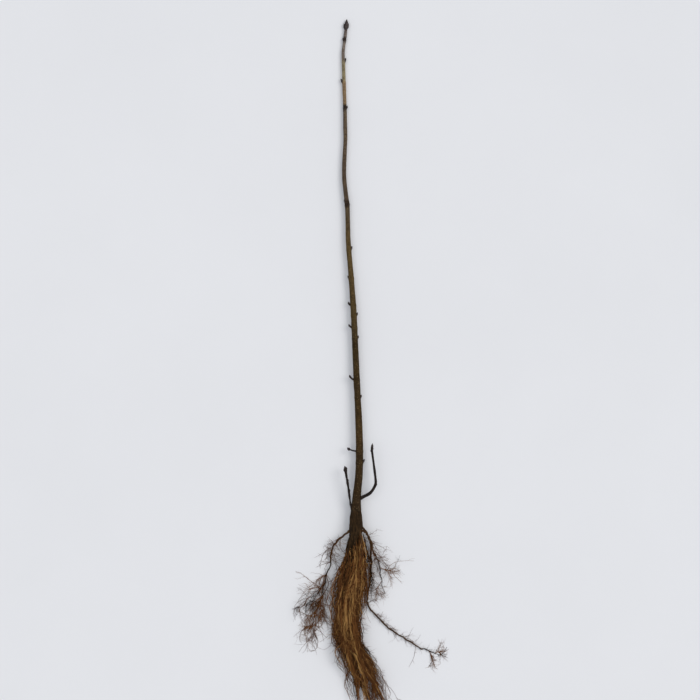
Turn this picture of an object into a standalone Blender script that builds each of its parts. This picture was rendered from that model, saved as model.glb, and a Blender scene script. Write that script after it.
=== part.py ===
# A leafless, bare-rooted rowan whip lying on its side: stem, buds, spurs, basal shoots and roots.
# +X runs across the stem, +Y from the roots to the tip, and +Z up from the surface it lies on.
# Sizes here are in millimetres, and make_limb turns them into metres. A height is measured along
# +Y from the root collar, a depth along -Y below it, an offset along +X, and a rise along +Z.

import bisect
import math
import random
from collections import namedtuple

import bmesh
import bpy
import numpy
from mathutils import Vector
from mathutils.bvhtree import BVHTree

MM = 0.001
GAP = 0.3
WELD = 0.01
SEED = 20

# Stem: (height, offset) of its crooked course, (height, diameter) of its taper, and the heights
# of the rings of bud scars that part one year's growth from the next
GROUND_CUT = -8
STEM_TOP = 684
YEAR_RINGS = (170, 427)
WHIP_TIP = 700
STEM_COURSE = [
    (-60, -4.0), (-30, 0.0), (0, 0.3), (21, 1.9), (48, 4.6), (104, 4.5), (197, 0.3), (289, -4.0),
    (381, -11.1), (427, -12.5), (473, -17.0), (531, -15.3), (634, -17.9), (652, -18.3),
    (675, -15.6), (700, -13.2),
]
STEM_TAPER = [
    (-8, 16.0), (0, 13.8), (12, 12.2), (48, 10.8), (104, 10.1), (170, 9.2), (280, 8.5), (380, 6.9),
    (470, 6.1), (590, 5.2), (660, 4.3), (690, 4.2),
]
COLLAR_RISE = 13.5
TIP_RISE = 2.8
RING_STEP = 14
NODE_SWELLING = 0.35
NODE_HALF_LENGTH = 2.5

# Buds on the stem: the side is -1 on the left and 1 on the right
Bud = namedtuple("Bud", "height side length stand_out")
BUDS = [
    Bud(64, 1, 6.0, 2.6), Bud(157, 1, 4.5, 1.8), Bud(242, 1, 4.0, 1.2), Bud(275, 1, 4.6, 2.0),
    Bud(328, -1, 4.4, 1.4), Bud(370, 1, 6.0, 2.0), Bud(433, 1, 3.6, 1.3), Bud(438, -1, 4.0, 1.3),
    Bud(573, 1, 4.0, 1.1), Bud(611, -1, 6.0, 2.3), Bud(641, 1, 6.6, 1.8), Bud(671, -1, 4.4, 1.2),
]
BUD_SLENDERNESS = 0.25
BUD_SHAPE = [(0.0, 0.55), (0.2, 0.92), (0.4, 1.0), (0.65, 0.72), (0.85, 0.38), (1.0, 0.1)]
TERMINAL_BUD_SHAPE = [(0.0, 2.1), (0.12, 2.4), (0.38, 2.8), (0.62, 2.2), (0.84, 1.2), (1.0, 0.3)]
TERMINAL_SIDE_BUD = (3.2, 6.0, 0.6)
TERMINAL_SIDE_BUD_RADIUS = 1.5

# Short spurs on the left of the stem, each with a bud at its end
Spur = namedtuple("Spur", "height reach climb diameter bud_length bud_diameter")
SPURS = [
    Spur(290, 2.2, 3.2, 2.2, 3.0, 2.4), Spur(258, 2.4, 2.6, 2.3, 3.2, 2.6),
    Spur(183, 5.6, 4.6, 2.7, 3.0, 2.9), Spur(77, 10.4, 3.4, 1.9, 4.4, 2.9),
]

# Basal shoots: course (height, offset, rise), taper (share of the length, diameter), and
# buds (share of the length, side, length)
Shoot = namedtuple("Shoot", "course taper buds")
SHOOTS = {
    "shoot_left": Shoot(
        [(-6, -3.0, 14), (4, -8.0, 16), (20, -10.1, 17), (40, -13.2, 18), (55.5, -15.8, 18)],
        [(0.0, 2.8), (0.3, 2.5), (0.75, 3.2), (0.93, 4.2), (1.0, 2.4)],
        [(0.6, 1, 3.2), (0.83, 1, 3.0)],
    ),
    "shoot_right": Shoot(
        [(8, 2.0, 13.5), (12, 9.0, 14.5), (18.7, 20.7, 16), (30, 27.6, 17), (40, 27.9, 18),
         (58, 25.6, 19), (79, 22.9, 20), (87, 23.3, 20)],
        [(0.0, 4.8), (0.2, 4.1), (0.45, 3.0), (0.8, 2.3), (0.87, 2.3), (0.93, 3.2), (1.0, 0.5)],
        [(0.42, 1, 3.0)],
    ),
}
SHOOT_RINGS = 14

# Root crown: (depth, offset, rise, diameter), from the ground cut down to its worn end
CROWN = [
    (8.3, 0.2, 13.5, 16.0), (20, 0.2, 13.6, 17.4), (30, 0.0, 13.8, 18.8), (38, -0.8, 13.8, 18.2),
    (50, -3.2, 13.4, 14.0), (65, -6.4, 12.8, 11.0), (85, -10.0, 12.0, 7.4), (101, -12.4, 11.5, 2.8),
]

# Root bundle, flattened on the surface: (depth, offset of its middle, half width, thickness)
BUNDLE = [
    (30, 0.7, 15.0, 27), (60, -1.6, 20.0, 28), (105, -5.0, 24.0, 26), (135, -8.0, 21.5, 24),
    (165, -11.6, 18.5, 22), (190, -10.0, 18.0, 20), (217, -2.0, 18.0, 19), (250, 9.5, 18.8, 17),
    (280, 21.5, 22.5, 14), (303, 31.5, 20.5, 12),
]

# Strands that share the bundle out: where each lies across it (-1 to 1) and up it (0 to 1), how
# wide it is, the depths of its first fine roots and of its tips, and the depth and the angle in
# degrees at which its main root leaves the crown
Strand = namedtuple("Strand", "across up half_across start tips leave angle")
STRANDS = [
    Strand(-0.75, 0.25, 0.25, 66, 288, 46, 210), Strand(-0.25, 0.25, 0.25, 90, 300, 60, 255),
    Strand(0.25, 0.25, 0.25, 76, 303, 46, 300), Strand(0.75, 0.25, 0.25, 70, 296, 46, 330),
    Strand(-0.62, 0.75, 0.31, 72, 262, 48, 150), Strand(0.0, 0.75, 0.31, 80, 292, 42, 95),
    Strand(0.62, 0.75, 0.31, 66, 282, 35, 40),
]
STRAND_HALF_UP = 0.25
MAIN_ROOT_DIAMETERS = (4.6, 3.0)
MAIN_ROOT_RINGS = 9
FINE_ROOT_DIAMETERS = (2.0, 1.1)
FINE_ROOT_STEP = 20
FINE_ROOT_PLACES = [(u, w) for w in (-0.75, 0.75) for u in (-0.9, -0.3, 0.3, 0.9)]
TWIGS_PER_STRAND = 8
TWIG_SHARE = 0.8
FRAY = 1.3

# Roots that leave the bundle: (depth, offset, rise) of their courses, and diameters at both ends
SideRoot = namedtuple("SideRoot", "course diameters")
SIDE_ROOTS = {
    "left": SideRoot([(33, -4, 14), (42, -17, 13), (52, -27, 8), (64, -35, 5.5), (84, -36.5, 4)], (3.2, 2.0)),
    "right": SideRoot([(33, 4, 15), (40, 15, 16.5), (52, 21, 15), (66, 25, 11), (82, 33, 5)], (3.0, 1.8)),
    "lateral": SideRoot(
        [(27, 2, 11), (35, 12, 9), (48, 19.5, 6.5), (66, 21.5, 4), (110, 21, 3), (134, 16, 3),
         (150, 21, 3), (166, 36, 3), (180, 50, 3), (196, 76, 3), (209, 96, 3)], (3.0, 1.7)),
}
SIDE_ROOT_RINGS = 12

# Sprays of thin roots at the ends of those: the flow in degrees from -Y to the right, the length
# of the spray's stem, and how many steps lie between its rootlets
Spray = namedtuple("Spray", "flow length every")
SPRAYS = {"left": Spray(-10, 112, 1), "right": Spray(16, 50, 2), "lateral": Spray(74, 32, 1)}
SPRAY_STEP = 10
SPRAY_TOP = 8
SPRAY_SHORTENING = (0.62, 0.5)
SHORTEST_TWIG = 12

TWIG_SIDES, BUD_SIDES, SHOOT_SIDES, STEM_SIDES, CROWN_SIDES = 3, 6, 8, 10, 12

COLOURS = {
    "bark": ((0.115, 0.088, 0.058), 0.55),
    "bud": ((0.050, 0.034, 0.034), 0.6),
    "shoot": ((0.040, 0.028, 0.024), 0.6),
    "root bark": ((0.062, 0.036, 0.022), 0.85),
    "rootlets": ((0.125, 0.068, 0.038), 0.9),
}


def make_collection(name):
    collection = bpy.data.collections.new(name)
    bpy.context.scene.collection.children.link(collection)
    return collection


def make_material(name):
    colour, roughness = COLOURS[name]
    material = bpy.data.materials.new(name)
    material.use_nodes = True
    shader = material.node_tree.nodes["Principled BSDF"]
    shader.inputs["Base Color"].default_value = (*colour, 1.0)
    shader.inputs["Roughness"].default_value = roughness
    shader.inputs["Metallic"].default_value = 0.0
    return material


def make_profile(sides):
    # Unit ring that a curve is swept with, drawn clockwise so that the tube faces outward
    ring = bpy.data.curves.new(f"ring_{sides}", "CURVE")
    ring.dimensions = "2D"
    spline = ring.splines.new("POLY")
    spline.points.add(sides - 1)
    for index, point in enumerate(spline.points):
        angle = -math.tau * index / sides
        point.co = (math.cos(angle), math.sin(angle), 0.0, 1.0)
    spline.use_cyclic_u = True
    profile = bpy.data.objects.new(ring.name, ring)
    guides.objects.link(profile)
    hide(profile)
    return profile


def hide(guide):
    guide.hide_render = True
    guide.display_type = "WIRE"


for item in list(bpy.data.objects):
    bpy.data.objects.remove(item)
whip = make_collection("rowan_whip")
guides = make_collection("cutters_and_guides")
materials = {name: make_material(name) for name in COLOURS}
profiles = {
    sides: make_profile(sides)
    for sides in (TWIG_SIDES, BUD_SIDES, SHOOT_SIDES, STEM_SIDES, CROWN_SIDES)
}


def read_course(stations, place):
    # Smooth values at one place of a list of (place, value, ...) stations in rising order
    places = [station[0] for station in stations]
    values = [numpy.array(station[1:], float) for station in stations]
    place = min(max(place, places[0]), places[-1])
    index = min(bisect.bisect_right(places, place), len(places) - 1) - 1

    def slope(i):
        low, high = max(i - 1, 0), min(i + 1, len(places) - 1)
        return (values[high] - values[low]) / (places[high] - places[low])

    span = places[index + 1] - places[index]
    t = (place - places[index]) / span
    return (
        values[index] * (2 * t**3 - 3 * t**2 + 1) + slope(index) * span * (t**3 - 2 * t**2 + t)
        + values[index + 1] * (3 * t**2 - 2 * t**3) + slope(index + 1) * span * (t**3 - t**2)
    )


def spread(first, last, count):
    return [first + (last - first) * index / (count - 1) for index in range(count)]


def smooth_step(share):
    share = min(max(share, 0.0), 1.0)
    return share * share * (3 - 2 * share)


def bezier(corners, count):
    points = []
    for t in spread(0.0, 1.0, count):
        layer = corners
        while len(layer) > 1:
            layer = [first.lerp(second, t) for first, second in zip(layer, layer[1:])]
        points.append(layer[0])
    return points


def evaluated_mesh(item):
    bpy.context.view_layer.update()
    depsgraph = bpy.context.evaluated_depsgraph_get()
    return bpy.data.meshes.new_from_object(item.evaluated_get(depsgraph))


def make_limb(name, points, radii, sides, collection=whip, tilt=0.0):
    # Tapering limb: a curve swept with a ring, turned into a mesh with its end caps welded on
    curve = bpy.data.curves.new(name, "CURVE")
    curve.dimensions = "3D"
    curve.bevel_mode = "OBJECT"
    curve.bevel_object = profiles[sides]
    curve.use_fill_caps = True
    spline = curve.splines.new("POLY")
    spline.points.add(len(points) - 1)
    for place, location, radius in zip(spline.points, points, radii):
        place.co = (*(location * MM), 1.0)
        place.radius = radius * MM
        place.tilt = tilt
    guide = bpy.data.objects.new(f"{name}_guide", curve)
    collection.objects.link(guide)
    mesh = evaluated_mesh(guide)
    mesh.name = name
    bpy.data.objects.remove(guide)
    shape = bmesh.new()
    shape.from_mesh(mesh)
    bmesh.ops.remove_doubles(shape, verts=shape.verts, dist=WELD * MM)
    shape.to_mesh(mesh)
    shape.free()
    limb = bpy.data.objects.new(name, mesh)
    collection.objects.link(limb)
    return limb


def finish(limb, material):
    limb.data.materials.clear()
    limb.data.materials.append(materials[material])
    limb.data.shade_smooth()
    limb.data.set_sharp_from_angle(angle=math.radians(50))


def find_shells(shape):
    # The separate closed surfaces of a mesh, each as its set of faces
    waiting = set(shape.faces)
    found = []
    while waiting:
        shell = {waiting.pop()}
        front = list(shell)
        while front:
            edges = front.pop().edges
            reached = {face for edge in edges for face in edge.link_faces} & waiting
            waiting -= reached
            shell |= reached
            front.extend(reached)
        found.append(shell)
    return found


def keep_largest_shell(mesh):
    # Fills any hollow that a union sealed, and drops any loose scrap
    shape = bmesh.new()
    shape.from_mesh(mesh)
    for shell in sorted(find_shells(shape), key=len)[:-1]:
        bmesh.ops.delete(shape, geom=list(shell), context="FACES")
    shape.to_mesh(mesh)
    shape.free()


def fuse(limb, others):
    # One Boolean union with everything in a collection, applied, and the collection emptied
    joined = make_collection(f"{limb.name}_joined")
    for item in others:
        whip.objects.unlink(item)
        joined.objects.link(item)
    union = limb.modifiers.new("union", "BOOLEAN")
    union.operation = "UNION"
    union.operand_type = "COLLECTION"
    union.collection = joined
    limb.data = evaluated_mesh(limb)
    limb.modifiers.clear()
    keep_largest_shell(limb.data)
    for item in others:
        bpy.data.objects.remove(item)
    bpy.data.collections.remove(joined)


def make_clearance(name, points, radii, sides):
    # Cutter that stands a gap proud of the limb that it is drawn along
    cutter = make_limb(name, points, [radius + GAP for radius in radii], sides, guides)
    hide(cutter)
    return cutter


def seat(limb, clearance):
    # Cuts the foot of a limb to sit a gap away from the limb that carries it
    cut = limb.modifiers.new("seat", "BOOLEAN")
    cut.operation = "DIFFERENCE"
    cut.object = clearance


def stem_point(height):
    offset = read_course(STEM_COURSE, height)[0]
    share = max(height, 0.0) / WHIP_TIP
    return Vector((offset, height, COLLAR_RISE + (TIP_RISE - COLLAR_RISE) * share))


def stem_radius(height):
    return read_course(STEM_TAPER, height)[0] / 2


def stem_rings(low, high):
    # Even steps up the stem, and three rings at each node for the cushion under its bud
    nodes = [bud.height - bud.length / 2 for bud in BUDS] + [spur.height for spur in SPURS]
    nodes = [node for node in nodes if low < node < high]
    rings = [(low, 0.0), (high, 0.0)]
    for height in spread(low, high, math.ceil((high - low) / RING_STEP) + 1)[1:-1]:
        if min(abs(height - node) for node in nodes) > 2 * NODE_HALF_LENGTH:
            rings.append((height, 0.0))
    for node in nodes:
        rings += [(node - NODE_HALF_LENGTH, 0.0), (node, NODE_SWELLING), (node + NODE_HALF_LENGTH, 0.0)]
    rings.sort()
    points = [stem_point(height) for height, _ in rings]
    return points, [stem_radius(height) + swelling for height, swelling in rings]


def make_bud(foot, tip, radius):
    points = [foot.lerp(tip, share) for share, _ in BUD_SHAPE]
    return make_limb("bud", points, [radius * width for _, width in BUD_SHAPE], BUD_SIDES)


def make_stem(name, low, high):
    # One year's growth of the stem, with the buds on it
    stem = make_limb(name, *stem_rings(low, high), STEM_SIDES)
    buds = []
    for bud in BUDS:
        if not low < bud.height < high:
            continue
        radius = BUD_SLENDERNESS * bud.length
        bark = stem_radius(bud.height)
        foot = stem_point(bud.height - bud.length / 2)
        foot.x += bud.side * (bark - 0.7 * radius)
        tip = stem_point(bud.height + bud.length / 2)
        tip.x += bud.side * (bark + bud.stand_out - 0.3 * radius)
        buds.append(make_bud(foot, tip, radius))
    fuse(stem, buds)
    finish(stem, "bark")


def make_terminal_bud():
    foot, tip = stem_point(STEM_TOP + GAP), stem_point(WHIP_TIP)
    points = [foot.lerp(tip, share) for share, _ in TERMINAL_BUD_SHAPE]
    radii = [radius for _, radius in TERMINAL_BUD_SHAPE]
    bud = make_limb("terminal_bud", points, radii, SHOOT_SIDES)
    side_foot = points[1] + Vector((0.8, 0, 0))
    side_tip = side_foot + Vector(TERMINAL_SIDE_BUD)
    fuse(bud, [make_bud(side_foot, side_tip, TERMINAL_SIDE_BUD_RADIUS)])
    finish(bud, "bud")


def make_spur(name, spur, clearance):
    # A stub that leaves the bark sideways and turns up the stem, with its bud turned further
    foot = stem_point(spur.height)
    bark = stem_radius(spur.height)
    knee = foot + Vector((-bark - 0.5 * spur.reach, 0.35 * spur.climb, 0.6))
    end = foot + Vector((-bark - spur.reach, spur.climb, 1.2))
    radii = [spur.diameter / 2 * width for width in (1.3, 1.2, 1.0, 0.95)]
    limb = make_limb(name, [foot, foot.lerp(knee, 0.6), knee, end], radii, SHOOT_SIDES)
    lean = ((end - knee).normalized() + Vector((0.15, 0.9, 0))).normalized()
    bud_foot = end - lean * 0.35 * spur.bud_length
    bud_tip = end + lean * 0.65 * spur.bud_length
    fuse(limb, [make_bud(bud_foot, bud_tip, spur.bud_diameter / 2)])
    seat(limb, clearance)
    finish(limb, "shoot")


def make_shoot(name, shoot, clearance):
    last = len(shoot.course) - 1
    stations = [(index / last, offset, height, rise)
                for index, (height, offset, rise) in enumerate(shoot.course)]
    shares = spread(0.0, 1.0, SHOOT_RINGS + 1)
    points = [Vector(read_course(stations, share)) for share in shares]
    radii = [read_course(shoot.taper, share)[0] / 2 for share in shares]
    limb = make_limb(name, points, radii, SHOOT_SIDES)
    buds = []
    for share, side, length in shoot.buds:
        foot = Vector(read_course(stations, share))
        tip = foot + Vector((side * 0.65, 0.85, 0.2)) * length
        buds.append(make_bud(foot, tip, BUD_SLENDERNESS * length))
    fuse(limb, buds)
    seat(limb, clearance)
    finish(limb, "shoot")


def crown_rings():
    points = [Vector((offset, -depth, rise)) for depth, offset, rise, _ in CROWN]
    return points, [diameter / 2 for *_, diameter in CROWN]


def crown_place(depth):
    offset, rise, diameter = read_course(CROWN, depth)
    return Vector((offset, -depth, rise)), diameter / 2


def bundle_place(across, up, depth):
    offset, half_width, thickness = read_course(BUNDLE, depth)
    return Vector((offset + across * half_width, -depth, up * thickness))


def strand_place(strand, u, w, depth, radius):
    # A place in a strand's own space: u and w run from -1 to 1 over it, clear of its borders
    _, half_width, thickness = read_course(BUNDLE, depth)
    border = radius + GAP / 2
    room_across = strand.half_across * half_width - border
    room_up = STRAND_HALF_UP * thickness - border
    return bundle_place(strand.across, strand.up, depth) + Vector((u * room_across, 0, w * room_up))


def main_root_path(strand):
    # A main root leaves the crown at its own angle and runs down to where its fine roots start
    angle = math.radians(strand.angle)
    surface, radius = crown_place(strand.leave)
    surface += Vector((math.cos(angle), 0, math.sin(angle))) * (radius + 1.5)
    inside, _ = crown_place(strand.leave - 10)
    above = bundle_place(strand.across, strand.up, strand.start - 10)
    end = bundle_place(strand.across, strand.up, strand.start - GAP)
    return bezier([inside, surface, above, end], MAIN_ROOT_RINGS + 1)


def side_root_path(root):
    last = len(root.course) - 1
    stations = [(index / last, offset, -depth, rise)
                for index, (depth, offset, rise) in enumerate(root.course)]
    return [Vector(read_course(stations, share)) for share in spread(0.0, 1.0, SIDE_ROOT_RINGS + 1)]


def strand_roots(strand, rng):
    # The stem of a strand, fine roots that leave it one after another and run beside it, and twigs
    length = strand.tips - strand.start
    phase = [rng.uniform(0, math.tau) for _ in range(2)]
    wave = [rng.uniform(60, 90) for _ in range(2)]
    thick, thin = MAIN_ROOT_DIAMETERS[1] / 2, FINE_ROOT_DIAMETERS[1] / 2

    def stem_place(depth):
        fade = smooth_step((depth - strand.start) / 30)
        return [0.25 * fade * math.sin(math.tau * depth / wave[i] + phase[i]) for i in range(2)]

    def run(first, last, radius_first, radius_last, place):
        count = max(round((last - first) / FINE_ROOT_STEP), 2) + 1
        radii = spread(radius_first, radius_last, count)
        points = [strand_place(strand, *place(depth), depth, radius)
                  for depth, radius in zip(spread(first, last, count), radii)]
        return points, radii

    roots = [run(strand.start, strand.tips, thick, thin, stem_place)]
    for index, own in enumerate(rng.sample(FINE_ROOT_PLACES, len(FINE_ROOT_PLACES))):
        leave = strand.start + (0.01 + 0.45 * index / len(FINE_ROOT_PLACES)) * length
        last = strand.tips - rng.uniform(0.0, 0.3) * (strand.tips - leave)
        sway = [rng.uniform(0, math.tau) for _ in range(2)]
        sway_length = rng.uniform(40, 80)

        def beside(depth):
            ease = smooth_step((depth - leave) / 34)
            stem = stem_place(depth)
            waves = [0.1 * math.sin(math.tau * depth / sway_length + sway[i]) for i in range(2)]
            return [(1 - ease) * stem[i] + ease * (own[i] + waves[i]) for i in range(2)]

        roots.append(run(leave, last, FINE_ROOT_DIAMETERS[0] / 2, thin, beside))
    for _ in range(TWIGS_PER_STRAND):
        leave = strand.start + rng.uniform(0.04, 0.9) * length
        last = leave + rng.uniform(14, 30)
        side = rng.choice((-1, 1))
        fray = FRAY if side * strand.across > 0.5 else 0.0
        target = [side * (1 + fray * rng.random()), rng.uniform(-1.0, 1.0)]

        def outward(depth):
            share = (depth - leave) / (last - leave)
            stem = stem_place(leave)
            return [(1 - share) * stem[i] + share * target[i] for i in range(2)]

        roots.append(run(leave, last, TWIG_SHARE * thick, TWIG_SHARE * thin, outward))
    return roots


def wandering_root(foot, heading, flow, length, radius, rng):
    # A root that wanders along the surface from one place and is drawn back to the flow
    steps = max(round(length / SPRAY_STEP), 2)
    thin = FINE_ROOT_DIAMETERS[1] / 2
    points, headings = [foot], [heading]
    for _ in range(steps):
        heading += 0.22 * (flow - heading) + rng.uniform(-13, 13)
        angle = math.radians(heading)
        climb = rng.uniform(-1.6, 1.3)
        place = points[-1] + Vector((math.sin(angle), -math.cos(angle), 0)) * length / steps
        place.z = min(max(place.z + climb, thin), SPRAY_TOP)
        points.append(place)
        headings.append(heading)
    return points, spread(radius, thin, steps + 1), headings


def spray_roots(path, spray, rng):
    # A spray on the surface: a stem, rootlets to both sides of it, and twigs on the rootlets
    foot = path[-1] + (path[-1] - path[-2]).normalized() * GAP
    stem = wandering_root(foot, spray.flow, spray.flow, spray.length, FINE_ROOT_DIAMETERS[0] / 2, rng)
    layer = [(*stem, spray.length)]
    roots = list(layer)
    for shorter, every in zip(SPRAY_SHORTENING, (spray.every, 2)):
        grown = []
        for points, radii, headings, length in layer:
            for index in range(1, len(points) - 1, every):
                side = -1 if (index // spray.every) % 2 else 1
                heading = headings[index] + side * rng.uniform(28, 52)
                left = length * (1 - index / len(points))
                reach = max(left * shorter * rng.uniform(0.7, 1.2), SHORTEST_TWIG)
                radius = TWIG_SHARE * radii[index]
                root = wandering_root(points[index], heading, spray.flow, reach, radius, rng)
                grown.append((*root, reach))
        roots += grown
        layer = grown
    return [(points, radii) for points, radii, _, _ in roots]


def tree_of(limbs):
    # Search tree over the surfaces of finished pieces
    corners, faces = [], []
    for limb in limbs:
        first = len(corners)
        corners += [corner.co.copy() for corner in limb.data.vertices]
        faces += [[first + index for index in face.vertices] for face in limb.data.polygons]
    return BVHTree.FromPolygons(corners, faces)


def is_clear(points, radii, tree):
    for first, second, radius in zip(points, points[1:], radii):
        for share in spread(0.0, 1.0, 5):
            distance = tree.find_nearest(first.lerp(second, share) * MM)[3]
            if distance < (radius + GAP) * MM:
                return False
    return True


def grow_mass(name, roots, tree, rng):
    # One node: the stem and every root that keeps clear of the limbs, fused
    mass = make_limb(name, *roots[0], TWIG_SIDES)
    others = []
    for points, radii in roots[1:]:
        if is_clear(points, radii, tree):
            others.append(make_limb("rootlet", points, radii, TWIG_SIDES, tilt=rng.uniform(0, math.tau)))
    fuse(mass, others)
    finish(mass, "rootlets")
    return mass


def make_top():
    first, second = YEAR_RINGS
    make_stem("stem_lower", GROUND_CUT, first)
    make_stem("stem_middle", first + GAP, second)
    make_stem("stem_upper", second + GAP, STEM_TOP)
    make_terminal_bud()
    clearance = make_clearance("stem_clearance", *stem_rings(GROUND_CUT, STEM_TOP), STEM_SIDES)
    for index, spur in enumerate(SPURS):
        make_spur(f"spur_{index + 1}", spur, clearance)
    for name, shoot in SHOOTS.items():
        make_shoot(name, shoot, clearance)


def make_roots():
    crown = make_limb("root_crown", *crown_rings(), CROWN_SIDES)
    finish(crown, "root bark")
    limbs = {"root_crown": crown}
    paths = {}
    for index, strand in enumerate(STRANDS):
        paths[f"main_root_{index + 1}"] = (main_root_path(strand), MAIN_ROOT_DIAMETERS)
    for name, root in SIDE_ROOTS.items():
        paths[f"side_root_{name}"] = (side_root_path(root), root.diameters)
    for name, (path, (thick, thin)) in paths.items():
        limbs[name] = make_limb(name, path, spread(thick / 2, thin / 2, len(path)), SHOOT_SIDES)
        finish(limbs[name], "root bark")
    tree = tree_of(limbs.values())

    masses = []
    for index, strand in enumerate(STRANDS):
        rng = random.Random(SEED + index)
        masses.append(grow_mass(f"rootlets_{index + 1}", strand_roots(strand, rng), tree, rng))
    tree = tree_of([*limbs.values(), *masses])
    for index, (name, spray) in enumerate(SPRAYS.items()):
        rng = random.Random(2 * SEED + index)
        path = paths[f"side_root_{name}"][0]
        grow_mass(f"rootlets_{name}", spray_roots(path, spray, rng), tree, rng)

    clearance = make_clearance("crown_clearance", *crown_rings(), CROWN_SIDES)
    for name in paths:
        seat(limbs[name], clearance)


def place_on_surface():
    # Everything hangs on one empty, moved so that the origin is under the middle of the whip
    bpy.context.view_layer.update()
    depsgraph = bpy.context.evaluated_depsgraph_get()
    corners = []
    for piece in whip.objects:
        corners += [corner.co.copy() for corner in piece.evaluated_get(depsgraph).data.vertices]
    low = Vector([min(corner[axis] for corner in corners) for axis in range(3)])
    high = Vector([max(corner[axis] for corner in corners) for axis in range(3)])
    base = bpy.data.objects.new("whip_base", None)
    base.location = (-(low.x + high.x) / 2, -(low.y + high.y) / 2, -low.z)
    for piece in [*whip.objects, *guides.objects]:
        piece.parent = base
    whip.objects.link(base)


make_top()
make_roots()
place_on_surface()
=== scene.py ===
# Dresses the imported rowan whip: bark, buds, spurs, basal shoots, root crown and the fine roots.
# Sizes are in millimetres from the root collar, as in the source: height and depth run along the
# stem, offset across it and rise above it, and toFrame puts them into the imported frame.
import bisect
import math
import random
from itertools import accumulate

import bpy
import numpy as np
from mathutils import Matrix, Vector


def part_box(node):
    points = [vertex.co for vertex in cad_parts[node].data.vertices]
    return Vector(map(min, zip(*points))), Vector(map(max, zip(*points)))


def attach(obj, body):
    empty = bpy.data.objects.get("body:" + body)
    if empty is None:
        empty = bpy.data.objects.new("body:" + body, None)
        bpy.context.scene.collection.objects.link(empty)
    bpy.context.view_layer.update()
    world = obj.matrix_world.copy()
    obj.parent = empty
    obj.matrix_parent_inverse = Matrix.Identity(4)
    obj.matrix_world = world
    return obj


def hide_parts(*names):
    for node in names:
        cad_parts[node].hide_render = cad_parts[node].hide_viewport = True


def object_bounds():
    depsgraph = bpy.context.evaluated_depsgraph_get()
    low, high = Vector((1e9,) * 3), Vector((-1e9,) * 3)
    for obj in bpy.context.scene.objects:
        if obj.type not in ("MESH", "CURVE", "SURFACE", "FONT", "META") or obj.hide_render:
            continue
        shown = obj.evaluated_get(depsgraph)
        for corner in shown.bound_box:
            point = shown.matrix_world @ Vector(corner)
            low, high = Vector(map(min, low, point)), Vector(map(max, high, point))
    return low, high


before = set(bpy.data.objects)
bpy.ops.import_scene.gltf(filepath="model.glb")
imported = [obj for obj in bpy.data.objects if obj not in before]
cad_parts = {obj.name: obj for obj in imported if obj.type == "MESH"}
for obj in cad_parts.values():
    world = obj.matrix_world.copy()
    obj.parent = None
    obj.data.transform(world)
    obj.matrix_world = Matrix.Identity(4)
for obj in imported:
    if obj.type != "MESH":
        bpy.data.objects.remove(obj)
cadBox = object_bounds()
mm = 0.001
tau = math.tau
print("frame loaded:", len(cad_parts), "nodes")

# the collar's place in the frame, from the end bud's tip and the widest ring of the root crown
collar = {"fromCrownEdge": 9.4, "underTip": 700, "underCrownMiddle": 13.8}
crownLow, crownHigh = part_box("root_crown")
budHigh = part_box("terminal_bud")[1]
collarPlace = Vector((
    crownHigh.x - collar["fromCrownEdge"] * mm,
    budHigh.y - collar["underTip"] * mm,
    (crownLow.z + crownHigh.z) / 2 - collar["underCrownMiddle"] * mm,
))


def toFrame(point):
    return collarPlace + Vector(point) * mm


def deselect():
    if bpy.context.mode != "OBJECT":
        bpy.ops.object.mode_set(mode="OBJECT")
    bpy.ops.object.select_all(action="DESELECT")


def pick(active, *others):
    # selects these objects and nothing else
    deselect()
    for thing in (active, *others):
        thing.select_set(True)
    bpy.context.view_layer.objects.active = active


def newObject(name, data):
    thing = bpy.data.objects.new(name, data)
    bpy.context.scene.collection.objects.link(thing)
    return thing


# camera and light

camera = {
    "lens": 85, "sensor": 36,
    "over": (-8.6, 223.2, 4.0),     # the middle of the photo
    "width": 1008.2,                # what the photo is wide, at the plant
}
bpy.ops.object.camera_add()
cameraObject = bpy.context.object
cameraObject.data.lens = camera["lens"]
cameraObject.data.sensor_width = camera["sensor"]
away = camera["width"] * camera["lens"] / camera["sensor"]
cameraObject.location = toFrame(camera["over"]) + Vector((0, 0, away * mm))
cameraObject.rotation_euler = (0, 0, 0)     # straight down, the tip at the top
bpy.context.scene.camera = cameraObject
bpy.context.scene.view_settings.view_transform = "Standard"

# soft light from far away, so that the floor is as bright in every view
lights = {
    "key": {"from": (1.5, 0.6, 2.0), "strength": 1.15, "spread": 34, "colour": (1.0, 0.97, 0.93)},
    "top": {"from": (-0.7, 0.1, 2.6), "strength": 0.6, "spread": 60, "colour": (0.96, 0.98, 1.0)},
}
for name, light in lights.items():
    bpy.ops.object.light_add(type="SUN", location=light["from"])
    lamp = bpy.context.object
    lamp.name = name + "Light"
    lamp.data.angle = math.radians(light["spread"])
    lamp.data.energy = light["strength"]
    lamp.data.color = light["colour"]
    lamp.rotation_euler = (-Vector(light["from"])).to_track_quat("-Z", "Y").to_euler()

sky = {"Color": (0.86, 0.88, 0.92, 1), "Strength": 0.58}
world = bpy.data.worlds.new("softStudio")
bpy.context.scene.world = world
world.use_nodes = True
for label, value in sky.items():
    world.node_tree.nodes["Background"].inputs[label].default_value = value


# nodes and node groups

def rgb(red, green, blue):
    # a screen colour as the linear colour that a shader takes
    return tuple(((c / 255 + 0.055) / 1.055) ** 2.4 for c in (red, green, blue)) + (1.0,)


def addNode(tree, kind, at, **settings):
    node = tree.nodes.new(kind)
    node.location = at
    for setting, value in settings.items():
        setattr(node, setting, value)
    return node


def feed(tree, socket, value):
    # wires an output into a socket, or sets a plain value on it
    if isinstance(value, bpy.types.NodeSocket):
        tree.links.new(value, socket)
    else:
        socket.default_value = value


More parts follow.
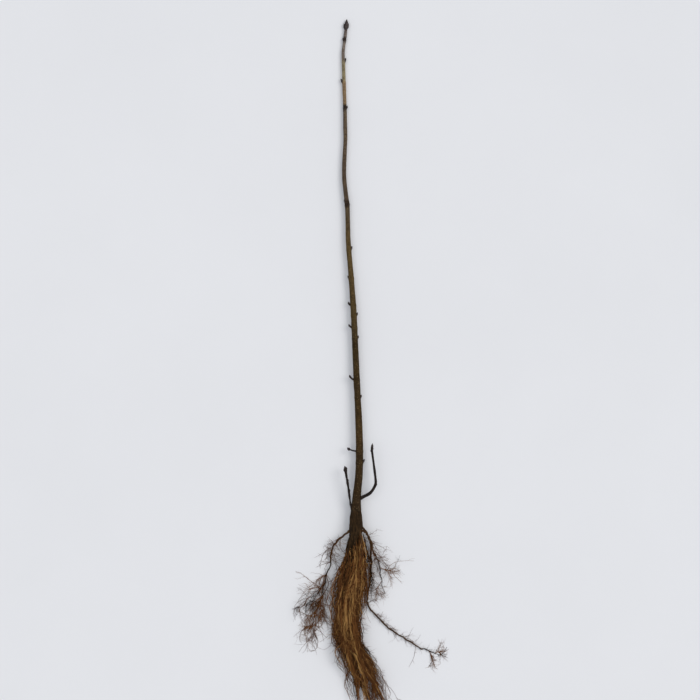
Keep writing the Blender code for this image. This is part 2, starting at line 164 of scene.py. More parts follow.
def mapRange(tree, at, value, low, high, toLow=0.0, toHigh=1.0):
    node = addNode(tree, "ShaderNodeMapRange", at)
    labels = ("Value", "From Min", "From Max", "To Min", "To Max")
    for label, end in zip(labels, (value, low, high, toLow, toHigh)):
        feed(tree, node.inputs[label], end)
    return node.outputs["Result"]


def mixColour(tree, at, share, first, second, blend="MIX"):
    node = addNode(tree, "ShaderNodeMix", at, data_type="RGBA", blend_type=blend)
    for index, value in zip((0, 6, 7), (share, first, second)):
        feed(tree, node.inputs[index], value)
    return node.outputs[2]


def multiplied(tree, at, kind, first, second):
    node = addNode(tree, kind, at, operation="MULTIPLY")
    feed(tree, node.inputs[0], first)
    feed(tree, node.inputs[1], second)
    return node.outputs[0]


def addNoise(tree, at, vector, scale, detail, roughness):
    node = addNode(tree, "ShaderNodeTexNoise", at)
    for label, value in zip(("Vector", "Scale", "Detail", "Roughness"), (vector, scale, detail, roughness)):
        feed(tree, node.inputs[label], value)
    return node.outputs["Fac"]


def newGroup(name, takes, gives):
    # a pattern that reads the coordinates and the named values, and puts out masks and colours
    group = bpy.data.node_groups.new(name, "ShaderNodeTree")
    group.interface.new_socket("Vector", in_out="INPUT", socket_type="NodeSocketVector")
    for label, value in takes.items():
        kind = "NodeSocketColor" if isinstance(value, tuple) else "NodeSocketFloat"
        group.interface.new_socket(label, in_out="INPUT", socket_type=kind).default_value = value
    for label in gives:
        kind = "NodeSocketColor" if label == "Colour" else "NodeSocketFloat"
        group.interface.new_socket(label, in_out="OUTPUT", socket_type=kind)
    start = addNode(group, "NodeGroupInput", (-900, 0))
    end = addNode(group, "NodeGroupOutput", (700, 0))
    return group, start.outputs, end.inputs


def stretched(group, takes):
    # the coordinates, scaled across and along the plant
    scale = addNode(group, "ShaderNodeCombineXYZ", (-700, -150))
    for axis, label in zip("XYZ", ("Across", "Along", "Across")):
        group.links.new(takes[label], scale.inputs[axis])
    return multiplied(group, (-500, 0), "ShaderNodeVectorMath", takes["Vector"], scale.outputs["Vector"])


# fibres: a noise drawn out along the plant, as a mask
fibreGroup, takes, gives = newGroup(
    "fibres", {"Across": 900.0, "Along": 120.0, "Low": 0.35, "High": 0.65}, ["Mask"])
noise = addNoise(fibreGroup, (-300, 0), stretched(fibreGroup, takes), 1.0, 5.0, 0.6)
feed(fibreGroup, gives["Mask"], mapRange(fibreGroup, (0, 0), noise, takes["Low"], takes["High"]))

# flecks: small spots of cork, wider than long where Along is over Across
fleckGroup, takes, gives = newGroup("flecks", {"Across": 300.0, "Along": 500.0, "Size": 0.2}, ["Mask"])
cells = addNode(fleckGroup, "ShaderNodeTexVoronoi", (-300, 0))
cells.inputs["Scale"].default_value = 1.0
feed(fleckGroup, cells.inputs["Vector"], stretched(fleckGroup, takes))
solid = multiplied(fleckGroup, (-120, -160), "ShaderNodeMath", takes["Size"], 0.5)     # full up to here
distance = cells.outputs["Distance"]
feed(fleckGroup, gives["Mask"], mapRange(fleckGroup, (100, 0), distance, takes["Size"], solid))

# soil: dried earth that clings in patches
soilGroup, takes, gives = newGroup(
    "soil",
    {"Colour": (0.05, 0.03, 0.02, 1), "Earth": (0.16, 0.11, 0.07, 1), "Scale": 230.0, "Amount": 0.5},
    ["Colour", "Mask"])
noise = addNoise(soilGroup, (-500, 0), takes["Vector"], takes["Scale"], 7.0, 0.68)
patch = mapRange(soilGroup, (-300, 0), noise, 0.46, 0.62)
share = multiplied(soilGroup, (-100, 0), "ShaderNodeMath", patch, takes["Amount"])
feed(soilGroup, gives["Colour"], mixColour(soilGroup, (150, 0), share, takes["Colour"], takes["Earth"]))
feed(soilGroup, gives["Mask"], share)


# materials
# patterns: how often one repeats in a metre across and along the plant, then for fibres where the
# mask starts and where it is full, and for flecks their size
# layers: the pattern that lets a colour through, its shares at low and high, the colour and its blend

def newMaterial(name, recipe):
    material = bpy.data.materials.new(name)
    material.use_nodes = True
    tree = material.node_tree
    shader = tree.nodes["Principled BSDF"]
    shader.inputs["Specular IOR Level"].default_value = recipe["specular"]
    place = addNode(tree, "ShaderNodeTexCoord", (-1500, 0)).outputs["Object"]

    def useGroup(group, at, values):
        node = addNode(tree, "ShaderNodeGroup", at, node_tree=group)
        for label, value in {"Vector": place, **values}.items():
            feed(tree, node.inputs[label], value)
        return node.outputs

    def alongStem(at, first, last, most=1.0):
        # nothing at the first height above the collar, and the most at the last
        apart = addNode(tree, "ShaderNodeSeparateXYZ", (at[0] - 200, at[1]))
        tree.links.new(place, apart.inputs["Vector"])
        ends = (toFrame((0, first, 0)).y, toFrame((0, last, 0)).y)
        return mapRange(tree, at, apart.outputs["Y"], *ends, 0.0, most)

    def heightRamp(tones):
        # a colour for each height on the stem
        lowest, highest = tones[0][0], tones[-1][0]
        ramp = addNode(tree, "ShaderNodeValToRGB", (-900, 300))
        tree.links.new(alongStem((-1100, 300), lowest, highest), ramp.inputs["Fac"])
        stops = ramp.color_ramp.elements
        stops.remove(stops[1])
        stops[0].color = tones[0][1]
        for height, colour in tones[1:]:
            stops.new((height - lowest) / (highest - lowest)).color = colour
        return ramp.outputs["Color"]

    masks = {}
    for row, (label, numbers) in enumerate(recipe["patterns"].items()):
        isFibre = len(numbers) == 4
        values = zip(("Across", "Along", "Low", "High") if isFibre else ("Across", "Along", "Size"), numbers)
        group = fibreGroup if isFibre else fleckGroup
        masks[label] = useGroup(group, (-900, -250 * row), dict(values))["Mask"]
    toned = recipe["base"]
    if isinstance(toned, list):
        toned = heightRamp(toned)
    for column, (label, shares, colour, *blend) in enumerate(recipe.get("layers", ())):
        mask = mapRange(tree, (-700, -250 * column), masks[label], 0, 1, *shares)
        toned = mixColour(tree, (-500 + 120 * column, 250), mask, toned, colour, *blend)
    if "soil" in recipe:
        earth, amount = recipe["soil"]
        if isinstance(amount, tuple):
            amount = alongStem((-300, 500), *amount)
        soiled = useGroup(soilGroup, (0, 250), {"Colour": toned, "Earth": earth, "Amount": amount})
        toned, masks["soil"] = soiled["Colour"], soiled["Mask"]
    feed(tree, shader.inputs["Base Color"], toned)
    rough = recipe["rough"]
    if isinstance(rough, tuple):        # a pattern, and the roughness where its mask is low and high
        rough = mapRange(tree, (-300, -200), masks[rough[0]], 0, 1, *rough[1:])
    feed(tree, shader.inputs["Roughness"], rough)
    normal = None
    patterns, depth, strength = recipe.get("bump", ((), 0, 0))      # the coarsest pattern first
    for index, label in enumerate(patterns):
        bump = addNode(tree, "ShaderNodeBump", (-250 + 180 * index, -500))
        bump.inputs["Distance"].default_value = depth / (index + 1) * mm
        bump.inputs["Strength"].default_value = strength
        tree.links.new(masks[label], bump.inputs["Height"])
        if normal is not None:
            tree.links.new(normal, bump.inputs["Normal"])
        normal = bump.outputs["Normal"]
    if normal is not None:
        tree.links.new(normal, shader.inputs["Normal"])
    return material


# bark of the stem: each year's wood is paler than the one below, with dark rings of bud scars
# between them, and soil at its foot from 50 mm down to the ground cut
barkMaterial = newMaterial("stemBark", {
    "base": [
        (-8, rgb(45, 33, 19)), (60, rgb(57, 43, 24)), (94, rgb(67, 51, 29)), (222, rgb(57, 46, 26)),
        (232, rgb(48, 38, 22)), (242, rgb(67, 55, 33)), (296, rgb(82, 68, 43)), (365, rgb(88, 73, 44)),
        (426, rgb(82, 70, 54)), (430, rgb(46, 36, 31)), (436, rgb(50, 40, 35)), (440, rgb(80, 67, 55)),
        (566, rgb(94, 82, 69)), (571, rgb(44, 35, 31)), (575, rgb(46, 37, 32)), (579, rgb(137, 116, 90)),
        (608, rgb(142, 120, 93)), (613, rgb(148, 138, 107)), (636, rgb(143, 135, 109)),
        (644, rgb(117, 107, 100)), (664, rgb(127, 119, 113)), (669, rgb(44, 37, 36)),
        (672, rgb(44, 37, 36)), (675, rgb(118, 109, 105)), (686, rgb(76, 65, 64))],
    "patterns": {
        "wrinkles": (1100, 90, 0.36, 0.66), "blotches": (170, 50, 0.38, 0.64),
        "patches": (140, 330, 0.49, 0.6), "cork": (240, 560, 0.25)},
    "layers": [
        ("wrinkles", (0, 1), (0.62, 0.57, 0.52, 1), "MULTIPLY"),
        ("blotches", (0, 1), (1.32, 1.3, 1.22, 1), "MULTIPLY"),
        ("patches", (0, 0.6), (0.42, 0.38, 0.34, 1), "MULTIPLY"),
        ("cork", (0, 0.6), rgb(138, 116, 84))],
    "soil": (rgb(76, 57, 36), (50, -8, 0.5)),
    "rough": ("blotches", 0.5, 0.72), "specular": 0.05, "bump": (("wrinkles", "cork"), 0.22, 0.8),
})

# bud scales: dark purple brown, with pale hairs along them
budMaterial = newMaterial("budScales", {
    "base": rgb(28, 21, 22),
    "patterns": {"hairs": (1500, 260, 0.52, 0.68), "shade": (420, 300, 0.35, 0.65)},
    "layers": [("shade", (0, 1), rgb(50, 37, 36)), ("hairs", (0, 0.5), rgb(138, 126, 122))],
    "rough": ("hairs", 0.42, 0.85), "specular": 0.25, "bump": (("hairs",), 0.08, 0.6),
})

# cork of lenticels, and the darker cork of leaf scars
corkMaterial = newMaterial("corkSpots", {
    "base": rgb(82, 66, 45), "patterns": {"grain": (1800, 1800, 0.3, 0.7)},
    "layers": [("grain", (0, 1), rgb(122, 102, 74))],
    "rough": 0.85, "specular": 0.15, "bump": (("grain",), 0.06, 0.6),
})
scarMaterial = newMaterial("leafScars", {
    "base": rgb(40, 31, 26), "patterns": {"grain": (900, 700, 0.3, 0.7)},
    "layers": [("grain", (0, 1), rgb(84, 67, 50))],
    "rough": 0.8, "specular": 0.15, "bump": (("grain",), 0.1, 0.6),
})

# spurs and basal shoots: almost black bark with a grey bloom
twigMaterial = newMaterial("darkTwigs", {
    "base": rgb(34, 25, 21),
    "patterns": {
        "wrinkles": (1200, 160, 0.35, 0.68), "bloom": (260, 90, 0.45, 0.7), "spots": (420, 620, 0.2)},
    "layers": [
        ("wrinkles", (0, 1), rgb(18, 13, 12)), ("bloom", (0, 0.3), rgb(62, 51, 46)),
        ("spots", (0, 0.45), rgb(96, 78, 58))],
    "rough": ("bloom", 0.42, 0.7), "specular": 0.12, "bump": (("wrinkles", "spots"), 0.1, 0.6),
})


def rootBark(name, dark, light, earth, amount):
    return newMaterial(name, {
        "base": dark, "patterns": {"fibre": (760, 70, 0.36, 0.64), "ridges": (260, 26, 0.36, 0.64)},
        # where the ridges' mask is low, in the grooves between them, the dark colour comes back in: painted
        # shade in the grooves
        "layers": [("fibre", (0, 1), light), ("ridges", (0.55, 0), dark)], "soil": (earth, amount),
        "rough": ("soil", 0.72, 0.95), "specular": 0.05, "bump": (("ridges", "fibre"), 0.5, 0.7),
    })


crownMaterial = rootBark("crownBark", rgb(20, 14, 8), rgb(66, 48, 28), rgb(80, 59, 36), 0.25)
woodyRootMaterial = rootBark("woodyRoots", rgb(40, 27, 17), rgb(84, 59, 36), rgb(100, 74, 48), 0.4)

# fine roots: plain colours dealt out by root, with a rough dry surface; the red and dark ones also stand for
# painted shade where they are dealt to the lower half of a strand
rootColours = {"tan": (168, 127, 76), "brown": (118, 78, 42), "red": (90, 56, 31), "dark": (42, 28, 16)}
fineRootMaterials = [newMaterial(name + "Roots", {
    "base": rgb(*colour), "patterns": {"grain": (1300, 420, 0.3, 0.7)},
    "rough": ("grain", 0.78, 0.98), "specular": 0.04, "bump": (("grain",), 0.08, 0.6),
}) for name, colour in rootColours.items()]
tan, brown, red, dark = range(len(rootColours))

floorMaterial = newMaterial("paleFloor", {
    "base": rgb(228, 229, 232), "patterns": {"grain": (3, 3, 0.3, 0.7)},
    "layers": [("grain", (0, 1), rgb(231, 232, 235))], "rough": 0.75, "specular": 0.2,
})
print("materials made:", len(bpy.data.materials))

deselect()
bpy.ops.mesh.primitive_plane_add(size=30, location=(0, 0, 0))
floor = bpy.context.object
floor.name = "paleFloor"
floor.data.materials.append(floorMaterial)


# shapes that every limb shares

def readCourse(stations, place):
    # smooth values at one place of a list of (place, value, ...) stations in rising order
    places = [station[0] for station in stations]
    values = [np.array(station[1:], float) for station in stations]
    place = min(max(place, places[0]), places[-1])
    index = min(bisect.bisect_right(places, place), len(places) - 1) - 1

    def slope(i):
        low, high = max(i - 1, 0), min(i + 1, len(places) - 1)
        return (values[high] - values[low]) / (places[high] - places[low])

    span = places[index + 1] - places[index]
    t = (place - places[index]) / span
    return (
        values[index] * (2 * t**3 - 3 * t**2 + 1) + slope(index) * span * (t**3 - 2 * t**2 + t)
        + values[index + 1] * (3 * t**2 - 2 * t**3) + slope(index + 1) * span * (t**3 - t**2)
    )


def spread(first, last, count):
    return [first + (last - first) * index / (count - 1) for index in range(count)]


def smoothStep(share):
    share = np.clip(share, 0.0, 1.0)
    return share * share * (3 - 2 * share)


def bezier(corners, count):
    points = []
    for t in spread(0.0, 1.0, count):
        layer = corners
        while len(layer) > 1:
            layer = [first.lerp(second, t) for first, second in zip(layer, layer[1:])]
        points.append(layer[0])
    return points


def applyModifiers(limb):
    pick(limb)
    for modifier in list(limb.modifiers):
        bpy.ops.object.modifier_apply(modifier=modifier.name)


def roughened(limb, size, stretch, strength, seed):
    # pushes the skin in and out by a cloudy noise, drawn out along the limb while it is straight
    noise = bpy.data.textures.new(limb.name + "Relief", "CLOUDS")
    noise.noise_scale = size * mm
    noise.noise_depth = 2
    ruler = newObject(limb.name + "Ruler", None)
    ruler.scale = (1, 1, stretch)
    ruler.location = [shift * seed for shift in (0.013, 0.007, 0.031)]      # each limb's own part of it
    relief = limb.modifiers.new("relief", "DISPLACE")
    relief.texture = noise
    relief.texture_coords = "OBJECT"
    relief.texture_coords_object = ruler
    relief.strength = strength * mm
    relief.mid_level = 0.5
    return ruler


def raiseRings(sides, heights, radii):
    # a ring is drawn, extruded straight up ring by ring, and given each radius in turn
    deselect()
    bpy.ops.mesh.primitive_circle_add(vertices=sides, radius=radii[0], fill_type="NGON")
    bpy.ops.object.mode_set(mode="EDIT")
    bpy.ops.mesh.select_mode(type="FACE")
    for low, high, before, after in zip(heights, heights[1:], radii, radii[1:]):
        bpy.ops.mesh.extrude_region_move(TRANSFORM_OT_translate={"value": (0, 0, high - low)})
        bpy.ops.transform.resize(value=(after / before, after / before, 1), center_override=(0, 0, high))
    bpy.ops.mesh.select_all(action="SELECT")
    bpy.ops.mesh.normals_make_consistent(inside=False)
    bpy.ops.object.mode_set(mode="OBJECT")
    return bpy.context.object


def makeLimb(name, points, radii, sides, material, levels=2, reliefs=(), seed=1):
    # straight rings are smoothed and roughened, then bent along their points
    swell = 6 / (4 + 2 * math.cos(tau / sides))     # what smoothing takes off a ring
    steps = [(second - first).length * mm for first, second in zip(points, points[1:])]
    limb = raiseRings(sides, [0.0, *accumulate(steps)], [radius * swell * mm for radius in radii])
    limb.name = name
    limb.data.name = name
    smooth = limb.modifiers.new("smooth", "SUBSURF")
    smooth.levels = levels
    smooth.render_levels = levels
    rulers = [roughened(limb, *relief, seed + index) for index, relief in enumerate(reliefs)]
    course = bpy.data.curves.new(name + "Course", "CURVE")
    course.dimensions = "3D"
    spline = course.splines.new("POLY")
    spline.points.add(len(points) - 1)
    for corner, point in zip(spline.points, points):
        corner.co = (*toFrame(point), 1.0)
    guide = newObject(name + "Course", course)
    bend = limb.modifiers.new("bend", "CURVE")
    bend.object = guide
    bend.deform_axis = "POS_Z"
    applyModifiers(limb)
    for helper in (guide, *rulers):
        bpy.data.objects.remove(helper)
    limb.data.materials.append(material)
    limb.data.shade_smooth()
    return limb


def dress(piece, slot, *nodes):
    # what every piece says to the frame
    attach(piece, "root")
    if nodes:
        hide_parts(*nodes)


def newPiece(name, corners, faces, materials):
    mesh = bpy.data.meshes.new(name)
    mesh.from_pydata(corners.tolist(), [], faces)
    for material in materials:
        mesh.materials.append(material)
    mesh.shade_smooth()
    return newObject(name, mesh)


def joinCopies(name, template, places, material):
    # one mesh of many copies of a modelled shape, each by its own matrix
    count = len(template.data.vertices)
    corners = np.empty(count * 3)
    template.data.vertices.foreach_get("co", corners)
    corners = corners.reshape(-1, 3)
    faces = [tuple(face.vertices) for face in template.data.polygons]
    allCorners, allFaces = [], []
    for index, matrix in enumerate(places):
        turn = np.array(matrix.to_3x3())
        allCorners.append(corners @ turn.T + np.array(matrix.translation))
        allFaces += [tuple(corner + index * count for corner in face) for face in faces]
    return newPiece(name, np.concatenate(allCorners), allFaces, [material])


def standing(foot, tip, radius, turn=0.0):
    # matrix that stands a shape of unit height and unit radius on a foot, towards a tip
    axis = tip - foot
    upright = axis.to_track_quat("Z", "Y").to_matrix().to_4x4()
    size = Matrix.Diagonal((radius * mm, radius * mm, axis.length * mm, 1.0))
    return Matrix.Translation(toFrame(foot)) @ upright @ Matrix.Rotation(turn, 4, "Z") @ size


# stem

stem = {
    "course": [
        (-60, -4.0), (-30, 0.0), (0, 0.3), (21, 1.9), (48, 4.6), (104, 4.5), (197, 0.3), (289, -4.0),
        (381, -11.1), (427, -12.5), (473, -17.0), (531, -15.3), (634, -17.9), (652, -18.3),
        (675, -15.6), (700, -13.2)],
    "taper": [
        (-8, 16.0), (0, 13.8), (12, 12.2), (48, 10.8), (104, 10.1), (170, 9.2), (280, 8.5), (380, 6.9),
        (470, 6.1), (590, 5.2), (660, 4.3), (690, 4.2)],
    "groundCut": -8, "top": 684, "tip": 700, "collarRise": 13.5, "tipRise": 2.8,
    "inCrown": 6, "inBud": 2,           # how far it goes on into the root crown and the end bud
    "footTaper": 0.05,                  # what it loses there for each millimetre
    "step": 6, "sides": 12,
    "ownStep": 0.4, "clearStep": 1.5,   # how close rings may come at a node, and elsewhere
    "nodeSwelling": 0.32, "nodeHalf": 2.5,
    "yearRings": (171, 428, 671),       # each a band of ridges, the scars of a bud's scales
    "ringCount": 7, "ringStep": 0.9, "ringProud": 0.22,
    "reliefs": [(7, 4, 0.7), (2.2, 9, 0.34), (0.8, 5, 0.12)],       # noise size, stretch and depth
}
# height, side (-1 left, 1 right), length, how far it stands out, and diameter
buds = [
    (64, 1, 6.0, 2.8, 3.8), (157, 1, 4.5, 1.8, 3.0), (242, 1, 4.4, 1.5, 3.2), (275, 1, 4.8, 2.2, 3.2),
    (328, -1, 4.4, 1.6, 3.0), (370, 1, 6.0, 2.1, 3.4), (433, 1, 4.0, 0.9, 2.6), (438, -1, 4.2, 0.8, 2.6),
    (573, 1, 4.4, 1.8, 3.6), (611, -1, 6.0, 3.0, 3.6), (641, 1, 6.6, 2.2, 3.2), (671, -1, 4.6, 1.7, 3.4),
]
# height, reach, climb, diameter, and length and diameter of the bud at its end
spurs = [
    (287, 2.1, 3.0, 2.8, 4.6, 3.0), (255, 2.8, 3.0, 2.6, 4.4, 2.8),
    (179, 5.2, 6.0, 2.8, 4.0, 3.1), (77, 9.8, 3.8, 2.1, 6.0, 4.1),
]


def stemPoint(height):
    offset = readCourse(stem["course"], height)[0]
    share = max(height, 0.0) / stem["tip"]
    return Vector((offset, height, stem["collarRise"] + (stem["tipRise"] - stem["collarRise"]) * share))


def stemRadius(height):
    return readCourse(stem["taper"], height)[0] / 2


def swelling(height, nodes):
    # how far the bark stands out at a node or on a ridge of a year's ring
    out = 0.0
    for node in nodes:
        out = max(out, stem["nodeSwelling"] * (1 - ((height - node) / stem["nodeHalf"]) ** 2))
    for year in stem["yearRings"]:
        step = round(2 * (height - year + 1) / stem["ringStep"])
        if 0 <= step < 2 * stem["ringCount"] and step % 2 == 0:
            out += stem["ringProud"]
    return out


def makeStem():
    nodes = [height - length / 2 for height, _, length, *_ in buds] + [spur[0] for spur in spurs]
    busy = [year - 1 + stem["ringStep"] * index / 2 for year in stem["yearRings"]
            for index in range(2 * stem["ringCount"])]
    for node in nodes:
        around = [node + share * stem["nodeHalf"] for share in (-1, -0.4, 0, 0.4, 1)]
        busy += [height for height in around if min(abs(height - other) for other in busy) > stem["ownStep"]]
    low, high = stem["groundCut"] - stem["inCrown"], stem["top"] + stem["inBud"]
    plain = [height for height in spread(low, high, round((high - low) / stem["step"]))
             if min(abs(height - other) for other in busy) > stem["clearStep"]]
    heights = sorted(plain + busy)
    radii = []
    for height in heights:
        foot = min(1, 1 + stem["footTaper"] * (height - stem["groundCut"] - 1))
        radii.append((stemRadius(height) + swelling(height, nodes)) * foot)
    points = [stemPoint(height) for height in heights]
    piece = makeLimb("barkStem", points, radii, stem["sides"], barkMaterial, 2, stem["reliefs"], 3)
    dress(piece, "bark", "stem_lower", "stem_middle", "stem_upper")
    print("stem:", len(piece.data.polygons), "faces")


# buds, leaf scars and ribs

budShape = {
    "sides": 20, "rings": 12,
    "profile": [(0.0, 0.3), (0.1, 0.66), (0.24, 0.92), (0.4, 1.0), (0.62, 0.78), (0.84, 0.4), (1.0, 0.06)],
    "scales": [(0.0, 0.62, 1.1), (2.4, 0.78, 1.07), (4.3, 0.9, 1.045)],      # turn, reach and width
    "scaleWidth": 1.7, "scalePoint": 2.2, "scaleThickness": 0.05,
}


def makeBudBody(width=1.0):
    # one unit high and wide
    shares = spread(0.0, 1.0, budShape["rings"] + 1)
    radii = [readCourse(budShape["profile"], share)[0] * width for share in shares]
    return raiseRings(budShape["sides"], shares, radii)


def makeBudTemplate():
    # a bud body with scales: each is a wider body cut down to a pointed arch and given a thickness
    body = makeBudBody()
    for turn, reach, width in budShape["scales"]:
        scale = makeBudBody(width)
        for face in scale.data.polygons:
            middle = face.center
            around = (math.atan2(middle.y, middle.x) - turn + math.pi) % tau - math.pi
            arch = -1
            if middle.z < reach:
                arch = budShape["scaleWidth"] * max(1 - (middle.z / reach) ** budShape["scalePoint"], 0.0)
            face.select = abs(around) > arch or abs(face.normal.z) > 0.99
        bpy.ops.object.mode_set(mode="EDIT")
        bpy.ops.mesh.delete(type="FACE")
        bpy.ops.object.mode_set(mode="OBJECT")
        wall = scale.modifiers.new("wall", "SOLIDIFY")
        wall.thickness = budShape["scaleThickness"]
        wall.offset = -1
        applyModifiers(scale)
        pick(body, scale)
        bpy.ops.object.join()
    return body


def makeCushionTemplate():
    # the cushion that a leaf stood on, with the sunk scar of its stalk
    deselect()
    bpy.ops.mesh.primitive_uv_sphere_add(segments=18, ring_count=12, radius=1)
    cushion = bpy.context.object
    for face in cushion.data.polygons:
        face.select = face.normal.z > 0.75
    bpy.ops.object.mode_set(mode="EDIT")
    bpy.ops.transform.resize(value=(0.96, 0.96, 0.1), center_override=(0, 0, 0.7))
    bpy.ops.mesh.inset(thickness=0.1)
    bpy.ops.transform.translate(value=(0, 0, -0.12))
    bpy.ops.object.mode_set(mode="OBJECT")
    return cushion


ribs = {
    "seed": 8, "sides": 6, "radius": 0.07, "sweep": 170, "steps": 24,
    "endShare": 0.25,                   # how thick a rib still is at its ends
    "proud": (0.05, 0.28), "tilt": 0.16,
    "pale": (2, 5),                     # which ones of a band are pale
    "underBud": 1.2, "underSpur": 1.8,
}


def makeRibTemplate():
    # a low rib half way round the stem, as an old scale or leaf stalk leaves
    deselect()
    bpy.ops.mesh.primitive_circle_add(vertices=ribs["sides"], radius=ribs["radius"], fill_type="NGON",
                                      location=(1, 0, 0), rotation=(math.pi / 2, 0, 0))
    rib = bpy.context.object
    bpy.ops.object.mode_set(mode="EDIT")
    sweep = math.radians(ribs["sweep"])
    bpy.ops.mesh.spin(steps=ribs["steps"], angle=sweep, center=(0, 0, 0), axis=(0, 0, 1))
    bpy.ops.mesh.select_all(action="SELECT")
    bpy.ops.mesh.normals_make_consistent(inside=False)
    bpy.ops.object.mode_set(mode="OBJECT")
    bpy.ops.object.transform_apply(location=True, rotation=True, scale=True)
    for vertex in rib.data.vertices:
        turn = abs(math.degrees(math.atan2(vertex.co.y, vertex.co.x))) / ribs["sweep"]
        thick = ribs["endShare"] + (1 - ribs["endShare"]) * math.sin(math.pi * min(turn, 1))
        middle = Vector((vertex.co.x, vertex.co.y, 0)).normalized()
        vertex.co = middle + (vertex.co - middle) * thick
    return rib


def makeRibs():
    # a band at each year's start, most of them dark, and a pale one under each bud and spur
    rng = random.Random(ribs["seed"])
    tilt = ribs["tilt"]

    def around(height, axis, proud, turn):
        radius = stemRadius(height) + proud
        foot = stemPoint(height)
        return standing(foot, foot + Vector(axis).normalized() * radius, radius, turn)

    darkPlaces, palePlaces = [], []
    for year in stem["yearRings"]:
        for index in range(stem["ringCount"]):
            height = year - 1 + index * stem["ringStep"] * rng.uniform(0.8, 1.2)
            axis = (rng.uniform(-tilt, tilt), 1, rng.uniform(-tilt, tilt))
            place = around(height, axis, rng.uniform(*ribs["proud"]), rng.uniform(0, tau))
            (palePlaces if index in ribs["pale"] else darkPlaces).append(place)
    under = [(height - length / 2 - ribs["underBud"], side) for height, side, length, *_ in buds]
    under += [(spur[0] - ribs["underSpur"], -1) for spur in spurs]
    for height, side in under:
        turn = math.radians(-85 if side > 0 else 95)
        palePlaces.append(around(height, (-tilt * side, 1, 0), -0.02, turn))
    rib = makeRibTemplate()
    dress(joinCopies("yearRings", rib, darkPlaces, scarMaterial), "bark")
    dress(joinCopies("leafLines", rib, palePlaces, corkMaterial), "bark")
    bpy.data.objects.remove(rib)


def budOnStem(height, side, length, standOut, diameter):
    # where a side bud's foot and tip are, and the foot of the leaf scar under it
    radius = diameter / 2
    bark = stemRadius(height)
    foot, tip, base = [stemPoint(height + up) for up in (-length / 2, length / 2, -length / 2 - 0.5)]
    foot.x += side * (bark - 0.7 * radius)
    tip.x += side * (bark + standOut - 0.3 * radius)
    base.x += side * (bark - 0.5)
    return foot, tip, base


def shootBuds(shoot):
    # small buds pressed to a basal shoot, and the one at its end
    placed = []
    for share, side, length in shoot["buds"]:
        foot = shootPoint(shoot, share)
        along = (shootPoint(shoot, share + 0.02) - foot).normalized()
        out = Vector((along.y, -along.x, 0.3 * side)) * side
        foot += out * (readCourse(shoot["taper"], share)[0] / 2 - 0.15 * length)
        placed.append(standing(foot, foot + along * length + out * 0.12 * length, 0.28 * length, share * 9))
    length, radius = shoot["endBud"]
    tip = shootPoint(shoot, 1.0)
    along = (tip - shootPoint(shoot, 0.97)).normalized()
    placed.append(standing(tip - along * 0.6 * length, tip + along * 0.4 * length, radius, 1.1))
    return placed


def makeBuds():
    budTemplate = makeBudTemplate()
    cushionTemplate = makeCushionTemplate()
    budPlaces, scarPlaces = [], []
    for index, bud in enumerate(buds):
        side, radius = bud[1], bud[4] / 2
        foot, tip, base = budOnStem(*bud)
        budPlaces.append(standing(foot, tip, radius, index * 1.3))
        scarPlaces.append(standing(base, base + Vector((side * 1.15, -0.35, 0)), 0.5 * radius + 0.75))
    for shoot in shoots.values():
        budPlaces += shootBuds(shoot)
    dress(joinCopies("sideBuds", budTemplate, budPlaces, budMaterial), "bud")
    dress(joinCopies("leafScars", cushionTemplate, scarPlaces, scarMaterial), "bark")
    makeEndBud(budTemplate)
    for template in (budTemplate, cushionTemplate):
        bpy.data.objects.remove(template)


# the longest bud, with scales over it and a small bud on either side
endBud = {
    "profile": [(0.0, 2.1), (0.25, 2.45), (0.48, 2.8), (0.64, 2.6), (0.82, 1.5), (1.0, 0.25)],
    "rings": 12, "sides": 12, "under": 0.5,
    "over": (0.1, 0.98, 2.5, 0.6),      # shares of it that the scales go from and to, radius and turn
    "beside": [     # share of it, step to the side, how it runs from there, radius and turn
        (0.12, 0.8, (3.3, 8.4, 0.6), 1.9, 0.3), (0.08, -0.7, (-2.3, 8.8, 0.5), 1.7, 2.4)],
}


def makeEndBud(template):
    foot, tip = stemPoint(stem["top"] - endBud["under"]), stemPoint(stem["tip"])
    shares = spread(0.0, 1.0, endBud["rings"])
    points = [foot.lerp(tip, share) for share in shares]
    radii = [readCourse(endBud["profile"], share)[0] for share in shares]
    piece = makeLimb("endBud", points, radii, endBud["sides"], budMaterial, 1)
    first, last, radius, turn = endBud["over"]
    places = [standing(foot.lerp(tip, first), foot.lerp(tip, last), radius, turn)]
    for share, aside, run, radius, turn in endBud["beside"]:
        base = foot.lerp(tip, share) + Vector((aside, 0, 0))
        places.append(standing(base, base + Vector(run), radius, turn))
    pick(piece, joinCopies("endBudScales", template, places, budMaterial))
    bpy.ops.object.join()
    dress(piece, "bud", "terminal_bud")


lenticels = {
    "count": 300, "seed": 5, "length": (0.7, 1.5), "width": (0.28, 0.5), "proud": 0.14,
    "from": 10, "over": 660,            # the heights they lie at, a little closer higher up
    "turnAt": 430,                      # across the stem below this height, and along it above
}


def makeLenticels():
    # one low bead of cork, copied all over the bark
    deselect()
    bpy.ops.mesh.primitive_uv_sphere_add(segments=8, ring_count=4, radius=1)
    bead = bpy.context.object
    rng = random.Random(lenticels["seed"])
    places = []
    for _ in range(lenticels["count"]):
        height = lenticels["from"] + lenticels["over"] * rng.random() ** 0.9
        angle = rng.uniform(0, tau)
        out = Vector((math.cos(angle), 0, math.sin(angle)))
        base = stemPoint(height) + out * (stemRadius(height) - 0.05)
        length, width = rng.uniform(*lenticels["length"]), rng.uniform(*lenticels["width"])
        if height > lenticels["turnAt"]:
            length, width = width, length * 0.8
        size = Matrix.Diagonal((length / 2 * mm, width / 2 * mm, lenticels["proud"] * mm, 1.0))
        turned = out.to_track_quat("Z", "Y").to_matrix().to_4x4()
        places.append(Matrix.Translation(toFrame(base)) @ turned @ size)
    dress(joinCopies("lenticels", bead, places, corkMaterial), "bark")
    bpy.data.objects.remove(bead)


